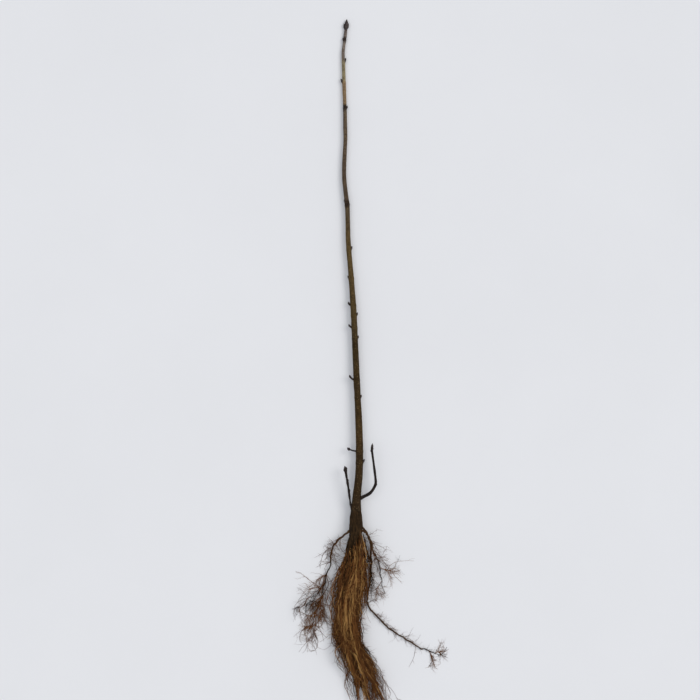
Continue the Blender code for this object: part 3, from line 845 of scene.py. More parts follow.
# basal shoots and spurs: courses are height, offset and rise; buds are place, side and length

shoots = {
    "left": {
        "course": [(-12, -4.2, 14), (2, -7.7, 15.5), (20, -10.1, 17), (40, -13.2, 18), (55.5, -15.8, 18)],
        "taper": [(0.0, 3.2), (0.3, 2.9), (0.75, 3.4), (0.85, 3.4), (0.95, 4.8), (1.0, 3.2)],
        "knobs": 0.1, "rings": 34,
        "buds": [(0.5, 1, 4.2), (0.68, 1, 3.8), (0.9, -1, 4.6), (0.93, 1, 4.2)], "endBud": (5.0, 1.7),
    },
    "right": {
        "course": [(8, 2.0, 13.5), (12, 9.0, 14.5), (18.7, 20.7, 16), (30, 27.6, 17), (40, 27.9, 18),
                   (58, 25.6, 19), (79, 22.9, 20), (87, 23.3, 20)],
        "taper": [(0.0, 5.2), (0.2, 4.8), (0.45, 3.9), (0.8, 3.2), (0.87, 3.2), (0.92, 3.7), (1.0, 1.9)],
        "knobs": 0.04, "rings": 36,
        "buds": [(0.42, 1, 3.4), (0.84, -1, 4.6), (0.87, 1, 4.2)], "endBud": (7.4, 1.7),
    },
}
shootReliefs = [(3, 4, 0.5), (0.9, 5, 0.14)]
spurShape = {
    "rings": 22, "sides": 10, "reliefs": [(1.6, 2, 0.3)],
    "widths": [(0, 1.3), (0.33, 1.2), (0.66, 1.0), (1, 0.95)],
    "wrinkle": (0.96, 1.07),            # every other ring is thinner and thicker, by the scars of its years
}


def shootPoint(shoot, share):
    last = len(shoot["course"]) - 1
    stations = [(index / last, offset, height, rise)
                for index, (height, offset, rise) in enumerate(shoot["course"])]
    return Vector(readCourse(stations, share))


def makeShoots():
    for name, shoot in shoots.items():
        shares = spread(0.0, 1.0, shoot["rings"] + 1)
        points = [shootPoint(shoot, share) for share in shares]
        radii = []
        for share in shares:
            knob = shoot["knobs"] * (math.sin(31 * share) + math.sin(47 * share + 2))
            radii.append(readCourse(shoot["taper"], share)[0] / 2 * (1 + knob))
        piece = makeLimb(name + "Shoot", points, radii, 10, twigMaterial, 2, shootReliefs, len(name))
        dress(piece, "shoot", "shoot_" + name)


def makeSpurs():
    # a short stub that slants up the stem to its bud
    template = makeBudTemplate()
    shares = spread(0.0, 1.0, spurShape["rings"])
    for index, (height, reach, climb, diameter, budLength, budDiameter) in enumerate(spurs):
        foot = stemPoint(height)
        bark = stemRadius(height)
        knee = foot + Vector((-bark - 0.45 * reach, 0.5 * climb, 0.6))
        end = foot + Vector((-bark - reach, climb, 1.2))
        stations = [(place, *corner) for place, corner in enumerate([foot, foot.lerp(knee, 0.6), knee, end])]
        points = [Vector(readCourse(stations, 3 * share)) for share in shares]
        radii = [diameter / 2 * readCourse(spurShape["widths"], share)[0] * spurShape["wrinkle"][ring % 2]
                 for ring, share in enumerate(shares)]
        piece = makeLimb(f"spur{index + 1}", points, radii, spurShape["sides"], twigMaterial, 1,
                         spurShape["reliefs"], 11 + index)
        lean = ((end - knee).normalized() + Vector((0.1, 0.4, 0))).normalized() * budLength
        place = standing(end - 0.35 * lean, end + 0.65 * lean, budDiameter / 2, index)
        pick(piece, joinCopies("spurBud", template, [place], budMaterial))
        bpy.ops.object.join()
        dress(piece, "shoot", f"spur_{index + 1}")
    bpy.data.objects.remove(template)


makeStem()
makeBuds()
makeRibs()
makeLenticels()
makeShoots()
makeSpurs()
print("buds, lenticels, shoots and spurs made")


# root crown and woody roots

crown = {
    "rings": [      # depth, offset, rise and diameter
        (8.3, 0.2, 13.5, 16.0), (20, 0.2, 13.6, 17.4), (30, 0.0, 13.8, 18.8), (38, -0.8, 13.8, 18.2),
        (50, -3.2, 13.4, 14.0), (65, -6.4, 12.8, 11.0), (85, -10.0, 12.0, 7.4), (101, -12.4, 11.5, 2.8)],
    "top": 4.0, "steps": 34, "sides": 16,
    "neck": 0.8,                        # share of its thickness at the very top
    "reliefs": [(5, 9, 3.0), (2.0, 10, 1.3), (0.9, 8, 0.4)],
}
# depth, offset of the middle, half width and thickness
bundle = [
    (30, 0.7, 14.0, 27), (60, -1.0, 15.5, 28), (90, -3.8, 17.5, 27), (105, -5.8, 18.0, 26),
    (135, -11.0, 15.8, 24), (165, -13.4, 14.0, 22), (190, -11.0, 14.0, 20), (206, -5.5, 15.0, 19.5),
    (223, 1.5, 15.4, 19), (250, 12.2, 18.0, 17), (280, 23.0, 22.5, 14), (303, 32.0, 24.0, 12),
]
# where each strand lies in the bundle from -1 to 1 across and 0 to 1 up, its half width, the depths of
# its first fine roots and of its tips, and the depth and angle at which it leaves the crown
strandKeys = ("across", "up", "half", "start", "tips", "leave", "angle")
strands = [dict(zip(strandKeys, values)) for values in (
    (-0.75, 0.25, 0.25, 66, 288, 46, 210), (-0.25, 0.25, 0.25, 90, 300, 60, 255),
    (0.25, 0.25, 0.25, 76, 303, 46, 300), (0.75, 0.25, 0.25, 70, 296, 46, 330),
    (-0.62, 0.75, 0.31, 72, 262, 48, 150), (0.0, 0.75, 0.31, 80, 292, 42, 95),
    (0.62, 0.75, 0.31, 66, 282, 35, 40),
)]
strandHalfUp = 0.25
woodyRoot = {"diameters": (4.6, 2.6), "sides": 8, "reliefs": [(4, 3, 1.0), (1.3, 4, 0.4)]}
sideRoots = {
    "left": {"course": [(33, -4, 14), (42, -17, 13), (52, -27, 8), (64, -35, 5.5), (84, -36.5, 4)],
             "diameters": (3.2, 2.0), "flow": -10, "length": 112, "every": 1, "rings": 26},
    "right": {"course": [(33, 4, 15), (40, 15, 16.5), (52, 21, 15), (66, 25, 11), (82, 33, 5)],
              "diameters": (3.0, 1.8), "flow": 16, "length": 50, "every": 2, "rings": 24},
    "lateral": {"course": [(27, 2, 11), (35, 12, 9), (48, 19.5, 6.5), (66, 21.5, 4), (110, 21, 3),
                           (134, 16, 3), (150, 21, 3), (166, 36, 3), (180, 50, 3), (196, 76, 3),
                           (209, 96, 3)],
                "diameters": (3.0, 1.7), "flow": 74, "length": 32, "every": 1, "rings": 60},
}
sideReliefs = [(3, 3, 0.7), (1.1, 4, 0.3)]


def crownPlace(depth):
    offset, rise, diameter = readCourse(crown["rings"], depth)
    return Vector((offset, -depth, rise)), diameter / 2


def bundlePlace(strand, depth):
    offset, halfWidth, thickness = readCourse(bundle, depth)
    return Vector((offset + strand["across"] * halfWidth, -depth, strand["up"] * thickness))


def mainRootPath(strand, count=26):
    angle = math.radians(strand["angle"])
    surface, radius = crownPlace(strand["leave"])
    surface += Vector((math.cos(angle), 0, math.sin(angle))) * (radius + 1.5)
    inside, _ = crownPlace(strand["leave"] - 10)
    above, end = [bundlePlace(strand, strand["start"] + down) for down in (-10, 6)]
    return bezier([inside, surface, above, end], count)


def sideRootPath(root, count):
    last = len(root["course"]) - 1
    stations = [(index / last, offset, -depth, rise)
                for index, (depth, offset, rise) in enumerate(root["course"])]
    return [Vector(readCourse(stations, share)) for share in spread(0.0, 1.0, count)]


def makeCrown():
    points, radii = [], []
    for depth in spread(crown["top"], crown["rings"][-1][0], crown["steps"]):
        point, radius = crownPlace(depth)
        points.append(point)
        radii.append(radius * (crown["neck"] + (1 - crown["neck"]) * smoothStep((depth - 3) / 13)))
    piece = makeLimb("rootCrown", points, radii, crown["sides"], crownMaterial, 2, crown["reliefs"], 21)
    dress(piece, "root_bark", "root_crown")


def makeWoodyRoots():
    thick, thin = woodyRoot["diameters"]
    for index, strand in enumerate(strands):
        points = mainRootPath(strand)
        radii = spread(thick / 2, thin / 2, len(points))
        bark = crownMaterial if strand["across"] < 0.2 else woodyRootMaterial       # the crown's darker bark on the left
        piece = makeLimb(f"mainRoot{index + 1}", points, radii, woodyRoot["sides"], bark, 2,
                         woodyRoot["reliefs"], 31 + index)
        dress(piece, "root_bark", f"main_root_{index + 1}")
    for index, (name, root) in enumerate(sideRoots.items()):
        points = sideRootPath(root, root["rings"])
        kinks = random.Random(51 + index)
        for point in points[1:-2]:
            point += Vector((kinks.uniform(-1.1, 1.1), kinks.uniform(-0.6, 0.6), 0))
        thick, thin = root["diameters"]
        radii = spread(thick / 2, thin / 2, len(points))
        piece = makeLimb(name + "SideRoot", points, radii, woodyRoot["sides"], woodyRootMaterial, 2,
                         sideReliefs, 41 + index)
        dress(piece, "root_bark", "side_root_" + name)


makeCrown()
makeWoodyRoots()
print("crown and woody roots made")


# fine roots: the source's rule, carried on to finer roots

fine = {
    "seed": 20, "border": 0.15, "lastDepth": 302,
    "ceiling": 26.0,        # no root rises above it
    "stemDiameters": (2.3, 0.8), "leaderDiameters": (1.7, 0.7), "twigDiameters": (1.4, 0.6),
    "twigs": 8,
    "strandSway": (4.4, 92, 2.2, 64),       # how far a strand sways across and up, each with its wave
    "gather": 0.85,         # how far the fine roots of a strand draw together into locks
    "sway": 0.55,           # how far a lock sways across its strand
    "followers": (11, 15),  # thin roots beside each fine root, below and on top
    "mat": (34, 40),        # roots of a strand that leave the crown or its main root, below and on top
    "strays": (20, 58),     # roots that slip across the strand, in the middle and at the edges
    "topRoots": 9,          # roots of each lock on top
    "hairs": 1600,
    "sprays": {"left": (170, 1100), "right": (40, 420), "lateral": (40, 420)},      # branches and hairs
}
# how each kind of root is drawn: its rings, how far it kinks, how firmly it is held to its course and the
# share of the kinks that goes up, then its diameters, and how thick it still is at its tip; the roots of
# a spray kink sideways only, under a low ceiling
kinds = {
    "own": {"rings": 50, "kinks": (0.13, 0.05, 0.7)},
    "twig": {"rings": 12, "kinks": (0.13, 0.05, 0.7)},
    "follower": {"rings": 34, "kinks": (0.22, 0.035, 0.7), "diameters": (0.45, 1.1), "taper": 0.4},
    "mat": {"rings": 34, "kinks": (0.26, 0.03, 0.7), "diameters": (0.5, 1.4), "taper": 0.35},
    "stray": {"rings": 30, "kinks": (0.3, 0.02, 0.7), "diameters": (0.45, 1.2), "taper": 0.4},
    "top": {"rings": 44, "kinks": (0.2, 0.05, 0.5), "diameters": (0.5, 1.0), "taper": 0.45},
    "spray": {"rings": 26, "kinks": (0.2, 0.03), "taper": 0.35, "ceiling": 9.0},
}
# the finest roots, which leave any other: their shortest, usual and longest, and their diameters
hairKinds = {
    "strand": {"lengths": (3, 6, 26), "diameters": (0.26, 0.56), "ceiling": fine["ceiling"]},
    "sprayBranch": {"lengths": (10, 12, 44), "diameters": (0.4, 0.75), "ceiling": 12.0},
    "sprayHair": {"lengths": (3, 5, 20), "diameters": (0.2, 0.42), "ceiling": 12.0},
}
hairSteps = 6
hairTaper = 0.4
# the locks that show on top: strand, colour, diameter, and the offset and depth they pass through
topLocks = [
    (5, tan, 1.5, [(-8, 118), (-14.4, 131), (-23, 155), (-28.4, 173), (-26.5, 190), (-19, 214), (-8, 240)]),
    (6, tan, 1.9, [(1, 108), (-4.3, 137), (-9, 158), (-5.8, 184), (0, 207), (4, 221)]),
    (6, tan, 1.4, [(-12, 128), (-14.4, 150), (-14, 180), (-13, 194), (-12, 216), (-4, 238)]),
    (5, brown, 1.6, [
        (-6, 96), (-13, 124), (-19, 150), (-21, 180), (-17, 200), (-10, 224), (0, 252), (1.5, 281)]),
    (6, brown, 1.4, [(-16, 196), (-10, 216), (-3, 240), (1.4, 254), (3, 274), (4, 296)]),
    (7, tan, 1.5, [(4, 196), (9, 214), (19, 230), (24, 244), (31, 262), (44, 288)]),
    (7, red, 1.3, [(8, 150), (5, 180), (6, 205), (14, 236), (23, 255), (30, 266), (39, 283)]),
    (6, tan, 1.4, [(-7, 203), (1, 216), (8, 236), (11.5, 252), (12, 281), (14, 298)]),
    (7, brown, 1.3, [(3, 108), (6, 134), (3, 160), (1, 186), (5, 212), (13, 240), (19, 262)]),
    (5, brown, 1.0, [(0, 62), (-6, 84), (-14, 110), (-22, 136), (-27, 158)]),
    (5, brown, 1.0, [(-4, 56), (-8, 80), (-16, 104), (-25, 128), (-31, 150)]),
    (6, tan, 1.1, [(2, 52), (0, 88), (-4, 118), (-6, 148), (-12, 172)]),
    (6, brown, 1.0, [(5, 44), (5, 80), (2, 114), (-1, 146), (-4, 176)]),
    (7, tan, 1.0, [(8, 48), (9, 74), (9, 104), (4, 142), (2, 170)]),
    (7, red, 1.0, [(9, 46), (13, 80), (15, 106), (13, 134), (8, 160)]),
    (7, dark, 0.9, [(10, 40), (16, 66), (21, 92), (24, 112), (20, 140)]),
    (5, brown, 0.9, [(-18, 188), (-11, 196), (-4, 190), (2, 184)]),
    (5, tan, 0.9, [(-1, 92), (-8, 108), (-16, 126), (-22, 144)]),
    (6, red, 0.9, [(0, 94), (-4, 112), (-9, 132), (-12, 150)]),
    (6, tan, 0.9, [(1, 94), (0, 112), (-2, 134), (-4, 156)]),
    (7, brown, 0.9, [(2, 94), (5, 112), (8, 130), (9, 150)]),
    (7, brown, 0.9, [(3, 92), (9, 106), (15, 120), (19, 136)]),
]
leaderPlaces = [(u, w) for w in (-0.75, 0.75) for u in (-0.9, -0.3, 0.3, 0.9)]
tableDepths = np.arange(20, 304, 0.5)
bundleTable = np.array([readCourse(bundle, depth) for depth in tableDepths]).T
boxMargin = Vector((2, 2, 2))
boxLow = (Vector(cadBox[0]) - collarPlace) / mm - boxMargin
boxHigh = (Vector(cadBox[1]) - collarPlace) / mm + boxMargin


def bundleAt(depths):
    # offset, half width and thickness of the bundle at many depths at once
    return [np.interp(depths, tableDepths, values) for values in bundleTable]


def inStrand(strand, u, w, depths, radius):
    # places in a strand's own space: u and w run from -1 to 1 over it
    offset, halfWidth, thickness = bundleAt(depths)
    border = radius + fine["border"]
    x = offset + strand["across"] * halfWidth + u * (strand["half"] * halfWidth - border)
    z = strand["up"] * thickness + w * (strandHalfUp * thickness - border)
    sideways, wave, upward, upWave = fine["strandSway"]
    loose = smoothStep((depths - 105) / 90)
    x = x + sideways * loose * np.sin(tau * depths / wave + math.radians(3 * strand["angle"]))
    z = z + upward * loose * np.sin(tau * depths / upWave + math.radians(5 * strand["angle"]))
    return np.stack([x, -depths, z], axis=-1)


def intoLock(course, start, middle, rng):
    # draws a fine root towards its lock, which sways as it goes down
    length, phase = rng.uniform(60, 115), rng.uniform(0, tau)

    def along(depths):
        u, w = course(depths)
        share = fine["gather"] * smoothStep((depths - start - 20) / 80)
        closing = 1 - 0.75 * smoothStep((depths - 160) / 80)
        lock = middle * closing + fine["sway"] * np.sin(tau * depths / length + phase)
        return [u + share * (lock - u), w * (1 - 0.3 * share)]

    return along


def strandRoots(strand, rng):
    # draws as the source does: the stem, the fine roots beside it, and the twigs out of it
    across, start, tips = strand["across"], strand["start"], strand["tips"]
    length = tips - start
    phase = [rng.uniform(0, tau) for _ in range(2)]
    wave = [rng.uniform(60, 90) for _ in range(2)]

    def stemPlace(depths):
        fade = smoothStep((depths - start) / 30)
        return [0.25 * fade * np.sin(tau * depths / wave[i] + phase[i]) for i in range(2)]

    roots, heights = [(start - 8, tips, fine["stemDiameters"], stemPlace)], [0.0]
    for index, own in enumerate(rng.sample(leaderPlaces, len(leaderPlaces))):
        leave = start + (0.01 + 0.45 * index / len(leaderPlaces)) * length
        last = tips - rng.uniform(0.0, 0.3) * (tips - leave)
        sway = [rng.uniform(0, tau) for _ in range(2)]
        swayLength = rng.uniform(40, 80)

        def beside(depths, leave=leave, own=own, sway=sway, swayLength=swayLength):
            ease = smoothStep((depths - leave) / 34)
            middle = stemPlace(depths)
            waves = [0.1 * np.sin(tau * depths / swayLength + sway[i]) for i in range(2)]
            return [(1 - ease) * middle[i] + ease * (own[i] + waves[i]) for i in range(2)]

        lockRng = random.Random(round(100 * (across + own[0])))
        lock = intoLock(beside, start, math.copysign(0.55, own[0]), lockRng)
        roots.append((leave, last, fine["leaderDiameters"], lock))
        heights.append(own[1])
    twigs = []
    for _ in range(fine["twigs"]):
        leave = start + rng.uniform(0.04, 0.9) * length
        last = leave + rng.uniform(14, 30)
        side = rng.choice((-1, 1))
        fray = 1.3 if side * across > 0.5 else 0.0
        target = [side * (1 + fray * rng.random()), rng.uniform(-1.0, 1.0)]

        def outward(depths, leave=leave, last=last, target=target):
            share = (depths - leave) / (last - leave)
            middle = stemPlace(np.array([float(leave)]))
            return [(1 - share) * middle[i] + share * target[i] for i in range(2)]

        twigs.append((leave, last, fine["twigDiameters"], outward))
    return roots, heights, twigs


def wander(rng, lengths, steps, kink, hold):
    # how far each of many roots strays sideways from its course, step by step
    place = np.zeros((len(lengths), 2))
    drift = np.zeros((len(lengths), 2))
    step = (lengths / (steps - 1))[:, None]
    keep = np.exp(-step / 5)
    track = [place]
    for _ in range(steps - 1):
        drift = keep * drift + np.sqrt(1 - keep**2) * rng.normal(0, kink, place.shape) - hold * step * place
        place = place + drift * step
        track.append(place)
    return np.stack(track, axis=1)


def strayed(paths, lengths, rng, kind):
    # the same roots with small kinks
    kink, hold, upShare = kind["kinks"]
    stray = wander(rng, lengths, kind["rings"], kink, hold)
    paths[..., 0] += stray[..., 0]
    paths[..., 2] += upShare * stray[..., 1]
    return paths


def finished(paths, diameters, taper, tones, ceiling=fine["ceiling"]):
    # a batch of roots: their places, radii and colours, kept above the floor
    radii = diameters[:, None] / 2 * np.linspace(1.0, taper, paths.shape[1])[None, :]
    paths[..., 1] = np.maximum(paths[..., 1], -fine["lastDepth"] - 0.5)
    paths[..., 2] = np.clip(paths[..., 2], radii + 0.06, ceiling)
    return paths, radii, np.asarray(tones, dtype=np.int32)


def lockToneAndShade(rng, strand, height):
    # the colour of a lock of roots, from real root tones: the pale ones lie on top and left, partly as
    # painted light, and the dark ones inside and right, those in the lower half of a strand as painted shade
    chance = rng.random()
    onLeft = strand["across"] < 0.3
    # the lower half of a strand gets red and dark roots: painted shade
    if height < 0:
        return red if chance < 0.4 else dark
    # pale tan roots, more often on the top strands on the left: partly painted light
    if chance < (0.26 if strand["up"] > 0.5 and onLeft else 0.12):
        return tan
    return brown if chance < (0.85 if onLeft else 0.5) else red


def mixedTones(rng, count, tone=None, share=0.0):
    others = rng.choice((tan, brown, brown, red, red, dark), count)
    return others if tone is None else np.where(rng.random(count) < share, tone, others)


def laid(strand, roots, tones, rng, kind):
    # the source's own roots, as one batch
    depths = np.stack([np.linspace(leave, min(last, fine["lastDepth"]), kind["rings"])
                       for leave, last, _, _ in roots])
    paths = np.stack([inStrand(strand, *course(row), row, thick / 2)
                      for (_, _, (thick, _), course), row in zip(roots, depths)])
    paths = strayed(paths, depths[:, -1] - depths[:, 0], rng, kind)
    diameters = np.array([thick for _, _, (thick, _), _ in roots])
    return finished(paths, diameters, roots[0][2][1] / roots[0][2][0], tones)


def followers(strand, root, tone, rng):
    # thin roots that leave a fine root one after another and keep near it, as one lock
    kind = kinds["follower"]
    leave, last, (thick, _), course = root
    first = leave + rng.uniform(0.0, 0.6, fine["followers"][strand["up"] > 0.5]) * (last - leave)
    end = np.minimum(first + rng.uniform(0.3, 1.08, len(first)) * (last - first), fine["lastDepth"])
    early = rng.random(len(first)) < 0.45       # these end sooner, so that the tips stay loose
    end = np.where(early, np.minimum(end, rng.uniform(185, 245, len(first))), end)
    first, end = first[end - first > 16], end[end - first > 16]
    count = len(first)
    depths = np.linspace(first, end, kind["rings"], axis=1)
    paths = inStrand(strand, *course(depths), depths, thick / 2)
    angle = rng.uniform(0, tau, count)[:, None]
    out = (rng.exponential(0.9, count) + 0.3) * rng.choice((1.0, 1.0, 1.0, 2.6), count)
    ease = smoothStep((depths - first[:, None]) / rng.uniform(14, 45, count)[:, None])
    out = out[:, None] * ease * (1 - 0.45 * smoothStep((depths - 180) / 80))
    paths[..., 0] += out * np.cos(angle)
    paths[..., 2] += 0.8 * out * np.sin(angle)
    paths = strayed(paths, end - first, rng, kind)
    diameters = rng.uniform(*kind["diameters"], count)
    return finished(paths, diameters, kind["taper"], mixedTones(rng, count, tone, 0.9))


def matRoots(strand, rng):
    # roots that leave the crown and the main root on every side and comb down over the strand
    kind = kinds["mat"]
    spine = mainRootPath(strand, 60)
    starts = []
    while len(starts) < fine["mat"][strand["up"] > 0.5]:
        turn = math.radians(strand["angle"] + rng.normal(0, 38))
        out = Vector((math.cos(turn), 0, math.sin(turn)))
        if rng.random() < 0.5:
            # the left of the crown shows bare
            earliest = 34 + max(out.z, 0) * (14 if out.x > 0.1 else 40)
            place, radius = crownPlace(rng.uniform(earliest, 96))
            starts.append(place + out * 0.9 * radius)
        else:
            starts.append(spine[int(rng.integers(15, 56))] + out * 1.2)
    starts = np.array(starts)
    count, first = len(starts), -starts[:, 1]
    end = np.minimum(np.maximum(first + rng.uniform(40, 140, count), strand["start"] + 12), strand["tips"])
    depths = np.linspace(first, end, kind["rings"], axis=1)
    u, w = 1.1 * rng.normal(0, 0.8, count)[:, None], rng.uniform(-1, 1.1, count)[:, None]
    goal = inStrand(strand, u, w, depths, 0.4)
    straight = np.stack([np.broadcast_to(starts[:, :1], depths.shape), -depths,
                         np.broadcast_to(starts[:, 2:], depths.shape)], axis=-1)
    ease = smoothStep((depths - first[:, None]) / rng.uniform(26, 74, count)[:, None])[..., None]
    paths = strayed((1 - ease) * straight + ease * goal, end - first, rng, kind)
    nearCrown = first < rng.uniform(50, 72, count)
    tones = np.where(nearCrown, rng.choice((dark, red, brown, tan, tan), count), mixedTones(rng, count))
    return finished(paths, rng.uniform(*kind["diameters"], count), kind["taper"], tones)


def strayRoots(strand, rng):
    # roots that slip across the strand, some of them out of it, and more of them at the bundle's edges
    kind = kinds["stray"]
    start, tips = strand["start"], strand["tips"]
    atEdge = abs(strand["across"]) > 0.5
    count = fine["strays"][atEdge]
    first = rng.uniform(start + 5, tips - 60, count)
    end = np.minimum(first + rng.uniform(35, 110, count), tips)
    depths = np.linspace(first, end, kind["rings"], axis=1)
    span = (depths - first[:, None]) / (end - first)[:, None]
    share = smoothStep(span)
    u = rng.uniform(-1, 1, count)[:, None] * (1 - share) + rng.normal(0, 1.9, count)[:, None] * share
    reach = 3.6 if strand["across"] < -0.5 else 2.2     # loose roots fill the gap on the left
    bulge = rng.uniform(0.2, reach, count)[:, None] * np.sin(math.pi * span)
    looping = (rng.random(count) < 0.4)[:, None] & atEdge
    u = np.where(looping, math.copysign(1, strand["across"]) * (0.7 + bulge), u)
    w = rng.uniform(-0.6, 1, count)[:, None] * (1 - share) + rng.uniform(-1, 1.2, count)[:, None] * share
    paths = strayed(inStrand(strand, u, w, depths, 0.4), end - first, rng, kind)
    diameters = rng.uniform(*kind["diameters"], count)
    tones = mixedTones(rng, count, red if atEdge else brown, 0.45)
    return finished(paths, diameters, kind["taper"], tones)


def topLock(tone, diameter, course, rng):
    # a lock that shows on top: it comes up out of the bundle, runs on it and sinks in again
    kind, count, last = kinds["top"], fine["topRoots"], len(course) - 1
    stations = [(place, *station) for place, station in enumerate(course)]
    length = sum(math.dist(station, after) for station, after in zip(course, course[1:])) / last
    first = rng.uniform(0, 0.18 * last, count)
    end = rng.uniform(0.6, 1.0, count) * last
    first[0], end[0] = 0, last          # the first root is the thick one, and runs all the way
    shares = np.linspace(first, end, kind["rings"], axis=1)
    offsets, depths = np.moveaxis([[readCourse(stations, share) for share in row] for row in shares], -1, 0)
    since = shares - first[:, None]
    apart = rng.normal(0, 1.3, count)[:, None] * smoothStep(since * length / 20)
    apart[0] = 0
    offsets = offsets + apart
    middle, halfWidth, thickness = bundleAt(depths)
    outward = np.clip(np.abs(offsets - middle) / halfWidth, 0, 1) ** 3
    surface = thickness * (1 - 0.5 * outward) - rng.uniform(0, 1.6, count)[:, None]
    span = since / (end - first)[:, None]
    # it rises from inside the crown, or from just under the bundle's surface
    rise, over = (surface - 14, 0.42) if course[0][1] < 80 else (4.5, 0.16)
    heights = surface - rise * (1 - smoothStep(span / over)) - 3.0 * smoothStep((span - 0.8) / 0.2)
    paths = np.stack([offsets, -depths, heights], axis=-1)
    paths = strayed(paths, (end - first) * length, rng, kind)
    diameters = rng.uniform(*kind["diameters"], count)
    diameters[0] = diameter
    tones = np.where(rng.random(count) < 0.62, tone, rng.choice((brown, red, dark), count))
    tones[0] = tone
    return finished(paths, diameters, kind["taper"], tones)


def hairRoots(hosts, count, rng, kind, flow=0.0):
    # the finest roots: they leave any root sideways, curl, and are drawn back to the way it flows
    starts, headings, tones = [], [], []
    weights = np.array([host[1].size for host in hosts], float)
    for (paths, _, own), number in zip(hosts, rng.multinomial(count, weights / weights.sum())):
        root = rng.integers(0, len(paths), number)
        ring = rng.integers(1, paths.shape[1] - 1, number)
        starts.append(paths[root, ring])
        headings.append(paths[root, ring + 1] - paths[root, ring - 1])
        tones.append(own[root])
    starts, headings, tones = [np.concatenate(parts) for parts in (starts, headings, tones)]
    kept = rng.random(count) < np.interp(-starts[:, 1], [140, 290], [1.0, 0.3])
    starts, headings, tones = starts[kept], headings[kept], tones[kept]
    count = len(starts)
    widest = np.interp(-starts[:, 1], [120, 240], [85, 50])
    side = rng.choice((-1, 1), count) * np.radians(15 + (widest - 15) * rng.random(count))
    angle = np.arctan2(headings[:, 0], -headings[:, 1]) + side
    curl = rng.normal(0, 0.2, count)
    rise = rng.uniform(-0.5, 0.5, count)
    shortest, usual, longest = kind["lengths"]
    step = np.minimum(shortest + rng.exponential(usual, count), longest)[:, None] / hairSteps
    path = [starts]
    for _ in range(hairSteps):
        angle = angle + curl + 0.12 * (math.radians(flow) - angle) + rng.normal(0, 0.2, count)
        rise = 0.8 * rise - 0.05 + rng.normal(0, 0.14, count)
        path.append(path[-1] + np.stack([np.sin(angle), -np.cos(angle), rise], axis=-1) * step)
    paths = np.stack(path, axis=1)
    within = ((paths > np.array(boxLow)) & (paths < np.array(boxHigh)))[..., :2].all(axis=(1, 2))
    diameters = rng.uniform(*kind["diameters"], count)
    return finished(paths[within], diameters[within], hairTaper, tones[within], kind["ceiling"])


def joinRoots(name, batches):
    # one mesh of all the roots of a mass: each batch is its roots and how many sides they have
    allCorners, faces, tones, first = [], [], [], 0
    for (paths, radii, own), sides in batches:
        count, rings = radii.shape
        flow = np.gradient(paths, axis=1)
        flow /= np.linalg.norm(flow, axis=2, keepdims=True)
        side = np.cross(flow, (0.22, 0.31, 0.925))
        side /= np.linalg.norm(side, axis=2, keepdims=True)
        over = np.cross(side, flow)
        turns = (tau * np.arange(sides) / sides)[None, None, :, None]
        around = side[:, :, None] * np.cos(turns) + over[:, :, None] * np.sin(turns)
        allCorners.append((paths[:, :, None] + radii[:, :, None, None] * around).reshape(-1, 3))
        index = first + np.arange(count * rings * sides).reshape(count, rings, sides)
        after = np.roll(index, -1, axis=2)
        quads = np.stack([index[:, :-1], index[:, 1:], after[:, 1:], after[:, :-1]], axis=-1)
        faces += quads.reshape(-1, 4).tolist() + index[:, 0].tolist() + index[:, -1, ::-1].tolist()
        tones += [np.repeat(own, (rings - 1) * sides), own, own]
        first += count * rings * sides
    corners = np.concatenate(allCorners) * mm + np.array(collarPlace)
    piece = newPiece(name, corners, faces, fineRootMaterials)
    piece.data.polygons.foreach_set("material_index", np.concatenate(tones))
    print(name, sum(len(face.vertices) - 2 for face in piece.data.polygons), "triangles")
    return piece


def makeStrands():
    for index, strand in enumerate(strands):
        roots, heights, twigs = strandRoots(strand, random.Random(fine["seed"] + index))
        rng = np.random.default_rng(100 + index)
        # these tones carry painted shade in the lower half of each strand and painted light on top, and the
        # followers and hairs take them on
        tones = [lockToneAndShade(rng, strand, height) for height in heights]
        tones[0] = dark if strand["across"] < 0.2 else red      # goes on from the main root
        own = laid(strand, roots, tones, rng, kinds["own"])
        short = laid(strand, twigs, mixedTones(rng, len(twigs)), rng, kinds["twig"])
        thin = [followers(strand, root, tone, rng) for root, tone in zip(roots, tones)]
        thin += [matRoots(strand, rng), strayRoots(strand, rng)]
        thin += [topLock(*lock, rng) for number, *lock in topLocks if number == index + 1]
        hairs = hairRoots([own, *thin], fine["hairs"], rng, hairKinds["strand"])
        batches = [(own, 6), (short, 5), *((batch, 4) for batch in thin), (hairs, 3)]
        dress(joinRoots(f"rootStrand{index + 1}", batches), "rootlets", f"rootlets_{index + 1}")


def wanderingRoot(foot, heading, flow, length, radius, rng):
    # as in the source: a root that wanders along the surface and is drawn back to the flow
    steps = max(round(length / 10), 2)
    points, headings = [foot], [heading]
    for _ in range(steps):
        heading += 0.22 * (flow - heading) + rng.uniform(-13, 13)
        angle = math.radians(heading)
        climb = rng.uniform(-1.6, 1.3)
        place = points[-1] + Vector((math.sin(angle), -math.cos(angle), 0)) * length / steps
        place.z = min(max(place.z + climb, 0.55), 8)
        points.append(place)
        headings.append(heading)
    return points, radius, headings, length


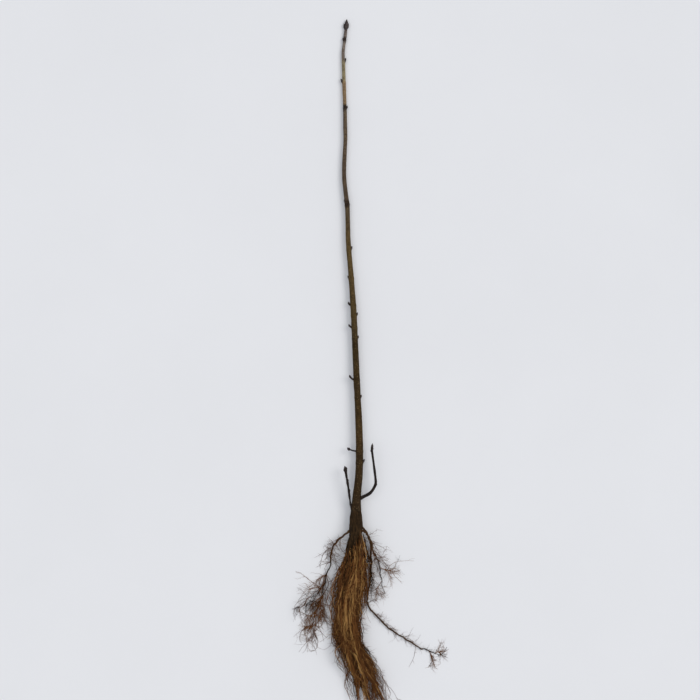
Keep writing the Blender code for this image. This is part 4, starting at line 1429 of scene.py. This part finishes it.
def sprayRoots(root, rng):
    flow, every = root["flow"], root["every"]
    before, end = sideRootPath(root, 13)[-2:]
    foot = end - (end - before).normalized() * 2.5
    layer = [wanderingRoot(foot, flow, flow, root["length"], root["diameters"][1] / 2, rng)]
    roots = list(layer)
    for shorter, between in ((0.62, every), (0.5, 2)):
        grown = []
        for points, radius, headings, length in layer:
            for index in range(1, len(points) - 1, between):
                side = -1 if (index // every) % 2 else 1
                heading = headings[index] + side * rng.uniform(28, 52)
                reach = max(length * (1 - index / len(points)) * shorter * rng.uniform(0.7, 1.2), 12)
                grown.append(wanderingRoot(points[index], heading, flow, reach, 0.75 * radius, rng))
        roots += grown
        layer = grown
    return roots


def makeSprays():
    kind = kinds["spray"]
    rings = kind["rings"]
    for index, (name, root) in enumerate(sideRoots.items()):
        grown = sprayRoots(root, random.Random(2 * fine["seed"] + index))
        rng = np.random.default_rng(300 + index)
        paths, lengths, diameters = [], [], []
        for points, radius, _, length in grown:
            stations = [(place, *point) for place, point in enumerate(points)]
            paths.append([readCourse(stations, place) for place in spread(0, len(points) - 1, rings)])
            lengths.append(length)
            diameters.append(2 * radius * (rng.uniform(0.6, 0.95) if diameters else 0.97))
        paths = np.array(paths)
        paths[..., :2] += wander(rng, np.array(lengths, float), rings, *kind["kinks"])
        paths[..., 0] = np.clip(paths[..., 0], boxLow.x + 1, boxHigh.x - 1)
        tones = rng.choice((brown, dark, red, red, brown), len(paths))
        tones[0] = dark
        drawn = finished(paths, np.array(diameters), kind["taper"], tones, kind["ceiling"])
        carrier = np.array([sideRootPath(root, 160)[50:]])
        carrier = (carrier, np.full(carrier.shape[:2], 1.0), np.array([red]))
        branchCount, hairCount = fine["sprays"][name]
        flow = root["flow"]
        branches = hairRoots([drawn, carrier], branchCount, rng, hairKinds["sprayBranch"], flow)
        hairs = hairRoots([drawn, branches, carrier], hairCount, rng, hairKinds["sprayHair"], flow)
        piece = joinRoots(name + "Spray", [(drawn, 5), (branches, 4), (hairs, 3)])
        dress(piece, "rootlets", "rootlets_" + name)


makeStrands()
makeSprays()
